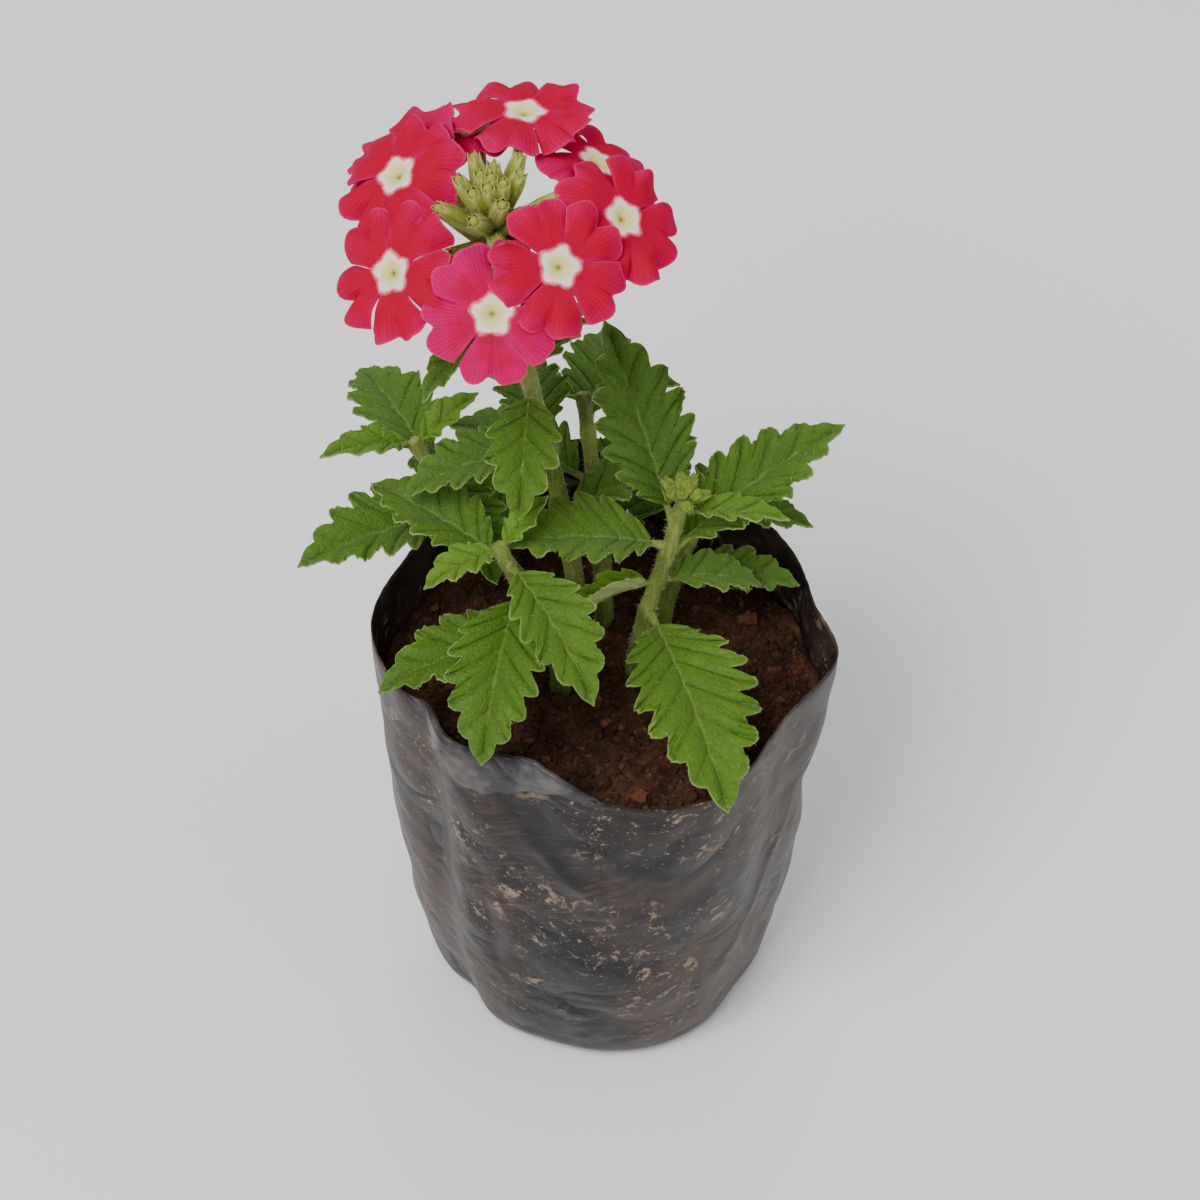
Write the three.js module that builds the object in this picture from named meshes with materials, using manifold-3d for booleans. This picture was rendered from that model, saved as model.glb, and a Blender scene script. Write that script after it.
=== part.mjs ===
// A potted verbena. Six leafy stems stand in the soil of a black polythene grow bag. One carries
// a head of open florets, another a head of green buds, and the rest end in young leaves.
// Millimetres, +Z up. The origin is the centre of the bag's flat base, and the front faces -Y.

import * as THREE from "three";
import Module from "manifold-3d";

const wasm = await Module();
wasm.setup();

// ---------------------------------------------------------------- driving dimensions

const GAP = 0.4; // clearance between solids that touch on the plant
const GOLDEN_ANGLE = 137.5;

// Grow bag: a filled tube of film, narrower at the foot, whose open rim is crumpled.
const BAG_SIDES = 40;
const FILM = 0.8;
const FOOT_FLAT_RADIUS = 29;
const FOOT_RADIUS = 32;
const FOOT_ROUND = 4;
const BAG_SPREAD = 9.5; // how much wider the bag grows towards its mouth
const SPREAD_HEIGHT = 38;
const RIM_HEIGHT = 92;
const RIM_BACK_RISE = 4.5; // the rim is this much higher at the back, and lower at the front
const BAG_LEVELS = [22, 42, 62];
// Folds and corners of the film: [azimuth, half width in degrees, outward push at the rim,
// outward push at the foot, change in rim height]
const BAG_FOLDS = [
  [-17, 11, 4.2, 0.4, 1.2],
  [6, 12, -0.8, -1.2, 0.8],
  [46, 20, -2.2, 0.6, -1.2],
  [93, 17, 1.8, 0.8, 1.8],
  [140, 16, -1.6, -0.9, -0.8],
  [178, 13, 2.0, 1.4, 1.8],
  [-152, 9, -2.8, -2.0, 2.2],
  [-118, 20, -4.2, -0.8, 4.0],
  [-70, 24, 1.6, 0.6, -3.0],
  [-40, 12, -1.4, -1.0, 0.0],
];

// Soil, with a rough top that rises a little towards the stems.
const SOIL_HEIGHT = 80;
const SOIL_MOUND = 2.2;
const SOIL_ROUGHNESS = 1.1;
const SOIL_WAVE = 0.8; // height of the slow waves under the roughness
const SOIL_WAVE_LENGTH = 34;
const SOIL_RINGS = [0.87, 0.73, 0.59, 0.45, 0.31, 0.17];
const SOIL_SEED = 20;

// Stems are six-sided and taper. Their roots stand straight down in plain holes.
const STEM_SIDES = 6;
const STEM_STEPS = 9;
const STEM_ROOT_RADIUS = 1.7;
const STEM_TIP_RADIUS = 1.15;
const RACHIS_TOP_RADIUS = 0.9;
const ROOT_TIP_RADIUS = 1.2;
const ROOT_DEPTH = 18;

// Leaves: thin arched blades folded up along the rib, with forward-pointing teeth.
const LEAF_THICKNESS = 0.8;
const PETIOLE_SHARE = 0.13;
const PETIOLE_HALF_WIDTH = 0.9;
const LEAF_SINK = 0.8; // how far short of the stem's middle a leaf starts
const LEAF_FOLD = 14; // degrees that each half rises from flat
const NOTCH_DEPTH = 0.27; // share of the half width cut away between teeth
const TOOTH_REACH = 1.06; // how far a tooth's point reaches, as a share of the half width
const TOOTH_LEAN = 0.66; // where along its share of the edge a tooth has its point
const NARROWEST_TOOTH = 1.2; // half the blade's width at a tooth's point, at the least
const LEAF_PROFILE = [0.75, 1.05]; // powers of the distance from the base and from the tip

// Flower head: calyces round a short rachis, and a ring of open five-petalled florets.
const CALYX_SIDES = 5;
const CALYX_RADIUS = 1.5;
// A calyx's profile from its foot to its mouth or point: [share of its length, share of its radius]
const OPEN_CALYX = [
  [0, 0.6],
  [0.4, 1],
  [1, 0.95],
];
const CLOSED_CALYX = [
  [0, 0.6],
  [0.35, 1],
  [0.82, 0.8],
  [1, 0.25],
];
const LOWEST_BUD = 0.35; // share of the rachis below the lowest of the closed calyces
const BUD_SPAN = 0.6; // share of the rachis that they cover
const BUD_SHORTENING = 0.3; // share of its length that the topmost one lacks
const TOP_BUD_TILT = 4;
const CALYX_SHARE = 0.47; // share of an open floret's reach that is calyx, and the rest is tube
const TUBE_RADIUS = 0.95;
const TUBE_FOOT_RADIUS = 0.76;
const RACHIS_SINK = 1.5; // how far up the rachis the open florets' calyces meet
const LIMB_RADIUS = 12.2;
const PETAL_THICKNESS = 0.7;
const THROAT_DEPTH = 1.2;
const PETALS = 5;
// One petal's edge from sinus to sinus: [share of the limb's radius, degrees from the petal's
// middle, height above the limb's plane]
const PETAL_EDGE = [
  [0.38, -36, -0.1],
  [0.84, -32, 0.5],
  [1.0, -14, 0.1],
  [0.88, 0, -0.1],
  [1.0, 14, 0.1],
  [0.84, 32, 0.5],
];
// The open florets. The first three values place the limb's middle: its azimuth round the head's
// axis, its distance from it and its height above the rachis's foot. Then come the azimuth and
// the tilt of the limb's face, and the spin of its petals.
const OPEN_FLORETS = [
  [-153, 19.6, 9, -150, 38, 0],
  [-95, 20, 10.5, -97, 40, 36],
  [-53, 16.8, 12.5, -62, 28, 10],
  [-8, 22, 9, -14, 36, 0],
  [28, 21.4, 6.6, 28, 36, 30],
  [68, 20, 11.5, 72, 24, 5],
  [93, 19.5, 7, 104, 34, 50],
  [130, 22.5, 6.5, 138, 40, 15],
  [151, 17, 12, 170, 28, 36],
];

// The stems. root is where each leaves the soil, and bend and lean steer its curve to the tip.
// Each leaf is [height along the stem from 0 to 1, azimuth, length, width, pitch, droop, roll,
// teeth] in millimetres and degrees.
const STEMS = [
  {
    name: "leafy_stem_flowering",
    root: [-3, 4],
    bend: [-4, 6, 118],
    lean: [-13, 9, 150],
    tip: [-17, 8, 178],
    leaves: [
      [0.33, 14, 23, 11, 24, 30, 0, 4],
      [0.48, 192, 28, 14, 18, 50, 0, 6],
      [0.5, 97, 23, 14, 18, 35, 0, 6],
      [0.64, 258, 25, 13, -6, 55, 0, 5],
      [0.66, 64, 24, 12, 20, 50, 0, 5],
      [0.8, 200, 22, 8, 0, 65, 0, 4],
      [0.8, 20, 16, 6, 30, 45, 0, 3],
    ],
    head: {
      axis: [-0.06, -0.28, 1],
      rachis: 11,
      open: true,
      buds: 17,
      budLength: 16.5,
      budRadius: 1.5,
      spread: 44,
    },
  },
  {
    name: "leafy_stem_right",
    root: [6, -4],
    bend: [6, -4, 96],
    lean: [12, -5, 112],
    tip: [14, -4, 125],
    leaves: [
      [0.4, -77, 45, 23, 12, 52, -6, 8],
      [0.56, 190, 18, 9, 15, 75, 0, 4],
      [0.56, 10, 22, 11, 5, 50, 0, 4],
      [0.7, 24, 41, 18, 36, 30, 0, 7],
      [0.76, 183, 32, 17, 30, 40, 0, 6],
      [0.86, 114, 40, 19, 58, 14, 0, 7],
      [0.97, -16, 20, 7, 18, 30, 0, 4],
    ],
    head: {
      axis: [0.1, -0.2, 1],
      rachis: 5,
      open: false,
      buds: 13,
      budLength: 5.5,
      budRadius: 0.95,
      spread: 62,
    },
  },
  {
    name: "leafy_stem_front",
    root: [-8, -6],
    bend: [-8, -6, 96],
    lean: [-15, -10, 110],
    tip: [-19, -9, 124],
    leaves: [
      [0.38, 196, 34, 15, 22, 50, 0, 6],
      [0.74, -110, 35, 17, 2, 66, 0, 7],
      [0.9, -64, 32, 15, 6, 55, 0, 6],
      [0.9, 140, 30, 15, 20, 28, 0, 6],
      [0.97, -150, 17, 8, 24, 45, 0, 4],
      [0.97, 28, 13, 6, 50, 25, 0, 3],
    ],
  },
  {
    name: "leafy_stem_left",
    root: [-10, 7],
    bend: [-10, 7, 97],
    lean: [-26, 14, 112],
    tip: [-32, 17, 126],
    leaves: [
      [0.34, 122, 35, 18, 42, 50, 0, 7],
      [0.62, 202, 36, 18, 28, 42, 0, 7],
      [0.84, 112, 32, 16, 22, 45, 0, 6],
      [0.84, -66, 25, 14, 0, 45, 0, 6],
      [0.97, 200, 20, 8, 36, 40, 0, 4],
      [0.97, 20, 15, 7, 45, 25, 0, 3],
    ],
  },
  {
    name: "leafy_stem_back",
    root: [2, 10],
    bend: [2, 10, 98],
    lean: [1, 22, 112],
    tip: [0, 28, 124],
    leaves: [
      [0.3, 60, 37, 19, 36, 52, 0, 7],
      [0.6, 140, 34, 17, 20, 48, 0, 7],
      [0.6, 20, 22, 11, 28, 40, 0, 5],
      [0.82, 75, 31, 15, 20, 50, 0, 6],
      [0.96, 172, 19, 8, 36, 35, 0, 4],
      [0.96, -12, 19, 8, 38, 40, 0, 4],
    ],
  },
  {
    name: "leafy_stem_side",
    root: [12, 5],
    bend: [12, 5, 92],
    lean: [18, 10, 99],
    tip: [20, 13, 107],
    leaves: [
      [0.45, -12, 24, 12, 26, 48, 0, 5],
      [0.75, 52, 29, 15, 14, 45, 0, 6],
      [0.95, -14, 22, 10, 20, 45, 0, 5],
      [0.95, 166, 13, 6, 50, 25, 0, 3],
    ],
  },
];

// ---------------------------------------------------------------- geometry helpers

const radians = THREE.MathUtils.degToRad;
const point = (x, y, z) => new THREE.Vector3(x, y, z);

// Points at a share of the way round a circle, counterclockwise from +X.
const polar = (radius, angle, height) =>
  point(radius * Math.cos(angle), radius * Math.sin(angle), height);

// A small seeded generator of numbers from 0 to 1.
function seeded(seed) {
  let state = seed;
  return () => {
    state = (state * 1103515245 + 12345) % 2147483648;
    return state / 2147483648;
  };
}

// A solid from indexed points and triangles.
function solidFrom(points, triangles) {
  return new wasm.Manifold(
    new wasm.Mesh({
      numProp: 3,
      vertProperties: new Float32Array(points.flatMap((p) => [p.x, p.y, p.z])),
      triVerts: new Uint32Array(triangles.flat()),
    }),
  );
}

// A solid from rings of equal count: each is stitched to the next, and the end rings are closed.
function ringSolid(rings) {
  const sides = rings[0].length;
  const last = (rings.length - 1) * sides;
  const triangles = [];
  for (let r = 0; r < rings.length - 1; r++) {
    for (let i = 0; i < sides; i++) {
      const a = r * sides + i;
      const b = r * sides + ((i + 1) % sides);
      triangles.push([a, b, b + sides], [a, b + sides, a + sides]);
    }
  }
  for (let i = 1; i < sides - 1; i++) {
    triangles.push([0, i + 1, i], [last, last + i, last + i + 1]);
  }
  return solidFrom(rings.flat(), triangles);
}

// A thin plate from a triangulated sheet: both faces use the same triangles, and every edge that
// only one triangle has gets a side.
function plateSolid(sheet, normals, triangles, thickness) {
  const count = sheet.length;
  const shifted = (share) =>
    sheet.map((p, i) => p.clone().addScaledVector(normals[i], share * thickness));
  const edges = new Map();
  for (const [a, b, c] of triangles) {
    for (const [from, to] of [
      [a, b],
      [b, c],
      [c, a],
    ]) {
      if (!edges.delete(to + "," + from)) edges.set(from + "," + to, [from, to]);
    }
  }
  const faces = triangles.flatMap(([a, b, c]) => [
    [a, b, c],
    [a + count, c + count, b + count],
  ]);
  for (const [from, to] of edges.values()) {
    faces.push([from, from + count, to + count], [from, to + count, to]);
  }
  return solidFrom([...shifted(0.5), ...shifted(-0.5)], faces);
}

// A round rod through points, with a radius for each, turned so that a corner faces +X.
function rodSolid(path, radii, sides) {
  const rings = path.map((p, i) => {
    const before = path[Math.max(i - 1, 0)];
    const after = path[Math.min(i + 1, path.length - 1)];
    const along = after.clone().sub(before).normalize();
    const reference = Math.abs(along.x) < 0.9 ? point(1, 0, 0) : point(0, 1, 0);
    const u = reference.addScaledVector(along, -reference.dot(along)).normalize();
    const v = along.clone().cross(u);
    return Array.from({ length: sides }, (_, k) => {
      const angle = (2 * Math.PI * k) / sides;
      return p
        .clone()
        .addScaledVector(u, radii[i] * Math.cos(angle))
        .addScaledVector(v, radii[i] * Math.sin(angle));
    });
  });
  return ringSolid(rings);
}

// ---------------------------------------------------------------- bag and soil

const bagAngles = Array.from({ length: BAG_SIDES }, (_, i) => (2 * Math.PI * i) / BAG_SIDES);

// How strongly a fold acts at an azimuth, from 0 to 1.
function foldShare(angle, [azimuth, width]) {
  const turn = Math.atan2(Math.sin(angle - radians(azimuth)), Math.cos(angle - radians(azimuth)));
  return Math.exp(-((turn / radians(width)) ** 2));
}

function bagRadius(angle, height) {
  const round = height < FOOT_ROUND ? FOOT_FLAT_RADIUS : FOOT_RADIUS;
  const spread = BAG_SPREAD * (1 - Math.exp(-height / SPREAD_HEIGHT));
  const folds = BAG_FOLDS.map((fold) => {
    const push = fold[3] + (fold[2] - fold[3]) * (height / RIM_HEIGHT) ** 2;
    return push * foldShare(angle, fold);
  });
  return round + spread + folds.reduce((sum, push) => sum + push, 0);
}

function rimHeight(angle) {
  const folds = BAG_FOLDS.map((fold) => fold[4] * foldShare(angle, fold));
  return RIM_HEIGHT + RIM_BACK_RISE * Math.sin(angle) + folds.reduce((sum, rise) => sum + rise, 0);
}

// A ring of the bag's surface at one height, or at a height for each azimuth, moved inwards.
function bagRing(inset, height) {
  return bagAngles.map((angle) => {
    const z = typeof height === "number" ? height : height(angle);
    return polar(bagRadius(angle, z) - inset, angle, z);
  });
}

const halfwayToRim = (angle) => (SOIL_HEIGHT + rimHeight(angle)) / 2;

function growBag() {
  const outside = [0, FOOT_ROUND, ...BAG_LEVELS, SOIL_HEIGHT, halfwayToRim, rimHeight];
  const inside = [rimHeight, halfwayToRim, SOIL_HEIGHT, ...BAG_LEVELS.toReversed(), FOOT_ROUND];
  const floor = bagRing(FILM, 0).map((p) => p.setZ(FILM));
  return ringSolid([
    ...outside.map((height) => bagRing(0, height)),
    ...inside.map((height) => bagRing(FILM, height)),
    floor,
  ]);
}

function soil() {
  const inset = FILM + GAP;
  const random = seeded(SOIL_SEED);
  const bottom = bagRing(inset, 0).map((p) => p.setZ(inset));
  const edge = bagRing(inset, SOIL_HEIGHT);
  const wave = (2 * Math.PI) / SOIL_WAVE_LENGTH;
  const rough = (p) =>
    SOIL_ROUGHNESS * (2 * random() - 1) +
    SOIL_WAVE * Math.sin(wave * p.x) * Math.cos(wave * p.y);
  const top = SOIL_RINGS.map((share) =>
    edge.map((p) => {
      const inner = p.clone().multiplyScalar(share);
      return inner.setZ(SOIL_HEIGHT + SOIL_MOUND * (1 - share) + rough(inner));
    }),
  );
  const block = ringSolid([
    bottom,
    bagRing(inset, FOOT_ROUND),
    ...BAG_LEVELS.map((height) => bagRing(inset, height)),
    edge,
    ...top,
  ]);
  const holes = STEMS.map((stem) => {
    const [x, y] = stem.root;
    const low = point(x, y, SOIL_HEIGHT - ROOT_DEPTH - GAP);
    const high = point(x, y, SOIL_HEIGHT + 2 * SOIL_MOUND + SOIL_ROUGHNESS);
    const radius = STEM_ROOT_RADIUS + GAP;
    return rodSolid([low, high], [radius, radius], STEM_SIDES);
  });
  return holes.reduce((rest, hole) => rest.subtract(hole), block);
}

// ---------------------------------------------------------------- leaves

// Half the width of a blade at a share of the way from its base to its tip.
function halfWidth(width, share) {
  const [fromBase, fromTip] = LEAF_PROFILE;
  const widest = fromBase / (fromBase + fromTip);
  const scale = widest ** fromBase * (1 - widest) ** fromTip;
  return ((width / 2) * share ** fromBase * (1 - share) ** fromTip) / scale;
}

// Where a leaf's rib is after a distance, with its directions there: forwards, up and right.
function ribFrame(base, leaf, distance) {
  const [, azimuth, length, , pitch, droop, roll] = leaf;
  const start = radians(pitch);
  const curve = radians(droop) / length;
  const angle = start - curve * distance;
  const out = polar(1, radians(azimuth), 0);
  const forwards = out.clone().multiplyScalar(Math.cos(angle)).setZ(Math.sin(angle));
  const up = out.clone().multiplyScalar(-Math.sin(angle)).setZ(Math.cos(angle));
  up.applyAxisAngle(forwards, radians(roll));
  return {
    at: base
      .clone()
      .addScaledVector(out, (Math.sin(start) - Math.sin(angle)) / curve)
      .add(point(0, 0, (Math.cos(angle) - Math.cos(start)) / curve)),
    up,
    right: forwards.clone().cross(up),
  };
}

function leafSolid(base, leaf) {
  const [, , length, width, , , , teeth] = leaf;
  const sheet = [];
  const normals = [];
  const triangles = [];
  const petiole = PETIOLE_SHARE * length;
  const fold = radians(LEAF_FOLD);
  const add = (distance, aside) => {
    const frame = ribFrame(base, leaf, distance);
    frame.at.addScaledVector(frame.right, aside * Math.cos(fold));
    frame.at.addScaledVector(frame.up, Math.abs(aside) * Math.sin(fold));
    sheet.push(frame.at);
    normals.push(frame.up);
    return sheet.length - 1;
  };
  const row = (distance, half) => [add(distance, -half), add(distance, 0), add(distance, half)];
  const stitch = ([left, rib, right], [nextLeft, nextRib, nextRight]) => {
    triangles.push([rib, right, nextRight], [rib, nextRight, nextRib]);
    triangles.push([rib, nextLeft, left], [rib, nextRib, nextLeft]);
  };
  const tooth = ([left, , right], nextLeft, nextRight, share) => {
    const distance = petiole + share * (length - petiole);
    const half = Math.max(halfWidth(width, share) * TOOTH_REACH, NARROWEST_TOOTH);
    triangles.push([right, add(distance, half), nextRight]);
    triangles.push([left, nextLeft, add(distance, -half)]);
  };

  let last = row(petiole, PETIOLE_HALF_WIDTH);
  stitch(row(LEAF_SINK, PETIOLE_HALF_WIDTH), last);
  for (let i = 1; i < teeth; i++) {
    const share = i / teeth;
    const half = halfWidth(width, share) * (1 - NOTCH_DEPTH);
    const next = row(petiole + share * (length - petiole), half);
    stitch(last, next);
    tooth(last, next[0], next[2], (i - 1 + TOOTH_LEAN) / teeth);
    last = next;
  }
  const tip = add(length, 0);
  triangles.push([last[1], last[2], tip], [last[1], tip, last[0]]);
  tooth(last, tip, tip, (teeth - 1 + 0.5 * TOOTH_LEAN) / teeth);
  return plateSolid(sheet, normals, triangles, LEAF_THICKNESS);
}

// ---------------------------------------------------------------- flower heads

// A direction at an angle from an axis, turned round it, with the axis's own side directions.
function aroundAxis(axis, tilt, turn) {
  const u = point(1, 0, 0).addScaledVector(axis, -axis.x).normalize();
  const v = axis.clone().cross(u);
  const side = u.multiplyScalar(Math.cos(turn)).addScaledVector(v, Math.sin(turn));
  return axis.clone().multiplyScalar(Math.cos(tilt)).addScaledVector(side, Math.sin(tilt));
}

// Each open floret's calyx foot, direction, calyx length, mouth, and its limb's centre and face.
function openFlorets(stem) {
  const axis = point(...stem.head.axis).normalize();
  const start = point(...stem.tip).addScaledVector(axis, RACHIS_SINK);
  return OPEN_FLORETS.map(([azimuth, out, height, faceAzimuth, faceTilt, spin]) => {
    const tilt = Math.atan2(out, height);
    const reach = Math.hypot(out, height);
    const along = aroundAxis(axis, tilt, radians(azimuth));
    const length = CALYX_SHARE * reach;
    const mouth = start.clone().addScaledVector(along, length);
    const centre = start.clone().addScaledVector(along, reach);
    const face = aroundAxis(axis, radians(faceTilt), radians(faceAzimuth));
    return { start, along, length, mouth, centre, face, spin: radians(spin) };
  });
}

function calyxSolid(start, along, length, radius, open) {
  const profile = open ? OPEN_CALYX : CLOSED_CALYX;
  const path = profile.map(([share]) => start.clone().addScaledVector(along, share * length));
  const radii = profile.map(([, width]) => width * radius);
  return rodSolid(path, radii, CALYX_SIDES);
}

function headSolids(stem) {
  const { rachis, open, buds, budLength, budRadius, spread } = stem.head;
  const axis = point(...stem.head.axis).normalize();
  const base = point(...stem.tip);
  const top = base.clone().addScaledVector(axis, rachis);
  const solids = [rodSolid([base, top], [STEM_TIP_RADIUS, RACHIS_TOP_RADIUS], STEM_SIDES)];
  for (let i = 0; i < buds; i++) {
    const share = i / (buds - 1);
    const start = base.clone().addScaledVector(axis, rachis * (LOWEST_BUD + BUD_SPAN * share));
    const tilt = radians(spread * (1 - share) + TOP_BUD_TILT);
    const along = aroundAxis(axis, tilt, radians(GOLDEN_ANGLE * i));
    const length = budLength * (1 - BUD_SHORTENING * share);
    solids.push(calyxSolid(start, along, length, budRadius, false));
  }
  if (open) {
    for (const floret of openFlorets(stem)) {
      solids.push(calyxSolid(floret.start, floret.along, floret.length, CALYX_RADIUS, true));
    }
  }
  return solids;
}

// One corolla: its tube, and a limb of five notched petals that dips into the throat.
function corollaSolids({ along, mouth, centre, face, spin }) {
  const u = point(0, 0, 1).addScaledVector(face, -face.z).normalize();
  const v = face.clone().cross(u);
  const sheet = [centre.clone().addScaledVector(face, -THROAT_DEPTH)];
  const triangles = [];
  for (let p = 0; p < PETALS; p++) {
    for (const [share, aside, height] of PETAL_EDGE) {
      const angle = spin + (2 * Math.PI * p) / PETALS + radians(aside);
      sheet.push(
        centre
          .clone()
          .addScaledVector(u, share * LIMB_RADIUS * Math.cos(angle))
          .addScaledVector(v, share * LIMB_RADIUS * Math.sin(angle))
          .addScaledVector(face, height),
      );
    }
  }
  const edgeCount = sheet.length - 1;
  for (let i = 0; i < edgeCount; i++) {
    triangles.push([0, 1 + i, 1 + ((i + 1) % edgeCount)]);
  }
  const normals = sheet.map(() => face);
  const foot = mouth.clone().addScaledVector(along, GAP);
  const throat = sheet[0].clone();
  return [
    plateSolid(sheet, normals, triangles, PETAL_THICKNESS),
    rodSolid([foot, throat], [TUBE_FOOT_RADIUS, TUBE_RADIUS], CALYX_SIDES),
  ];
}

// ---------------------------------------------------------------- stems

function stemCurve(stem) {
  return new THREE.CubicBezierCurve3(
    point(...stem.root, SOIL_HEIGHT),
    point(...stem.bend),
    point(...stem.lean),
    point(...stem.tip),
  );
}

function leafyStem(stem) {
  const curve = stemCurve(stem);
  const path = [point(...stem.root, SOIL_HEIGHT - ROOT_DEPTH), point(...stem.root, SOIL_HEIGHT)];
  const radii = [ROOT_TIP_RADIUS, STEM_ROOT_RADIUS];
  for (let i = 1; i <= STEM_STEPS; i++) {
    const share = i / STEM_STEPS;
    path.push(curve.getPoint(share));
    radii.push(STEM_ROOT_RADIUS + (STEM_TIP_RADIUS - STEM_ROOT_RADIUS) * share);
  }
  const solids = [rodSolid(path, radii, STEM_SIDES)];
  for (const leaf of stem.leaves) solids.push(leafSolid(curve.getPoint(leaf[0]), leaf));
  if (stem.head) solids.push(...headSolids(stem));
  return solids;
}

// ---------------------------------------------------------------- the part

const join = (solids) => solids.reduce((whole, next) => whole.add(next));

function meshOf(name, solid, material) {
  const made = solid.getMesh();
  const geometry = new THREE.BufferGeometry()
    .setAttribute("position", new THREE.BufferAttribute(made.vertProperties, 3))
    .setIndex(new THREE.BufferAttribute(made.triVerts, 1));
  const mesh = new THREE.Mesh(geometry, material);
  mesh.name = name;
  return mesh;
}

const finish = (color, roughness) =>
  new THREE.MeshStandardMaterial({ color, roughness, metalness: 0 });
const blackFilm = finish(0x23242a, 0.45);
const brownSoil = finish(0x4a2617, 0.95);
const leafGreen = finish(0x4f7a2a, 0.6);
const petalRed = finish(0xd8123c, 0.55);

const part = new THREE.Group();
part.add(meshOf("grow_bag", growBag(), blackFilm));
part.add(meshOf("soil", soil(), brownSoil));
for (const stem of STEMS) {
  part.add(meshOf(stem.name, join(leafyStem(stem)), leafGreen));
}
const flowering = STEMS.find((stem) => stem.head?.open);
const corollas = openFlorets(flowering).flatMap(corollaSolids);
part.add(meshOf("flower_head_corollas", join(corollas), petalRed));

export default part;
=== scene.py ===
import math
import random
from collections import namedtuple
from functools import partial
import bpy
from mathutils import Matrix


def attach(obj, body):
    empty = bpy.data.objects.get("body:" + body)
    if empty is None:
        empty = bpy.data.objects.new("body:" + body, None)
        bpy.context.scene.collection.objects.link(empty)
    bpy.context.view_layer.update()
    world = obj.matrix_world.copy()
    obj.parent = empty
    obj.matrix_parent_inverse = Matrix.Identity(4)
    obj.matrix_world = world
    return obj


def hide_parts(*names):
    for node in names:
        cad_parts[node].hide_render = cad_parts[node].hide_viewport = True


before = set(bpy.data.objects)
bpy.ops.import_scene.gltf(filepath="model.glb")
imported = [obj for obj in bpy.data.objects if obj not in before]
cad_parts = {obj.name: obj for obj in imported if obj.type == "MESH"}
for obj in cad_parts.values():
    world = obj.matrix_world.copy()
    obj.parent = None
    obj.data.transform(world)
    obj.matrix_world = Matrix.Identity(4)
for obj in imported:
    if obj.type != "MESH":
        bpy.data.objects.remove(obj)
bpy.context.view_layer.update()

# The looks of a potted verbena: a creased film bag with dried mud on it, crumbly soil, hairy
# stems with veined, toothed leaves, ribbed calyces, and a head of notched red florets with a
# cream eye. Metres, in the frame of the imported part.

from types import SimpleNamespace

import bmesh
import bpy
from mathutils import Matrix, Vector, noise

# ------------------------------------------------------------------ sizes shared with the part

GAP = 0.0004  # between solids that touch on the plant
GOLDEN_ANGLE = math.radians(137.5)

FILM = 0.0008  # the solid film of the part, whose middle the thin film here follows
FOOT_FLAT_RADIUS = 0.029
FOOT_RADIUS = 0.032
FOOT_ROUND = 0.004
BAG_SPREAD = 0.0095
SPREAD_HEIGHT = 0.038
RIM_HEIGHT = 0.092
RIM_BACK_RISE = 0.0045
Fold = namedtuple("Fold", "azimuth width rim_push foot_push rim_rise")
BAG_FOLDS = [
    Fold(-17, 11, 0.0042, 0.0004, 0.0012),
    Fold(6, 12, -0.0008, -0.0012, 0.0008),
    Fold(46, 20, -0.0022, 0.0006, -0.0012),
    Fold(93, 17, 0.0018, 0.0008, 0.0018),
    Fold(140, 16, -0.0016, -0.0009, -0.0008),
    Fold(178, 13, 0.0020, 0.0014, 0.0018),
    Fold(-152, 9, -0.0028, -0.0020, 0.0022),
    Fold(-118, 20, -0.0042, -0.0008, 0.0040),
    Fold(-70, 24, 0.0016, 0.0006, -0.0030),
    Fold(-40, 12, -0.0014, -0.0010, 0.0000),
]

SOIL_HEIGHT = 0.080
SOIL_MOUND = 0.0022
SOIL_WAVE = 0.0008
SOIL_WAVE_LENGTH = 0.034

STEM_ROOT_RADIUS = 0.0017
STEM_TIP_RADIUS = 0.00115
RACHIS_TOP_RADIUS = 0.0009
ROOT_TIP_RADIUS = 0.0012
ROOT_DEPTH = 0.018

PETIOLE_SHARE = 0.13
LEAF_SINK = 0.0008
LEAF_FOLD = math.radians(14)
NOTCH_DEPTH = 0.27
TOOTH_REACH = 1.06
BASE_POWER = 0.75
TIP_POWER = 1.05

CALYX_RADIUS = 0.0015
LOWEST_BUD = 0.35
BUD_SPAN = 0.6
BUD_SHORTENING = 0.3
TOP_BUD_TILT = 4
CALYX_SHARE = 0.47
TUBE_RADIUS = 0.00095
TUBE_FOOT_RADIUS = 0.00076
RACHIS_SINK = 0.0015
LIMB_RADIUS = 0.0122
THROAT_DEPTH = 0.0012
PETALS = 5

Floret = namedtuple("Floret", "azimuth out height face_azimuth face_tilt spin tone")
OPEN_FLORETS = [
    Floret(-153, 0.0196, 0.0090, -150, 38, 0, 0.10),
    Floret(-95, 0.0200, 0.0105, -97, 40, 36, 0.60),
    Floret(-53, 0.0168, 0.0125, -62, 28, 10, 0.15),
    Floret(-8, 0.0220, 0.0090, -14, 36, 0, 0.05),
    Floret(28, 0.0214, 0.0066, 28, 36, 30, 0.35),
    Floret(68, 0.0200, 0.0115, 72, 24, 5, 0.20),
    Floret(93, 0.0195, 0.0070, 104, 34, 50, 0.25),
    Floret(130, 0.0225, 0.0065, 138, 40, 15, 0.40),
    Floret(151, 0.0170, 0.0120, 170, 28, 36, 0.10),
]

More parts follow.
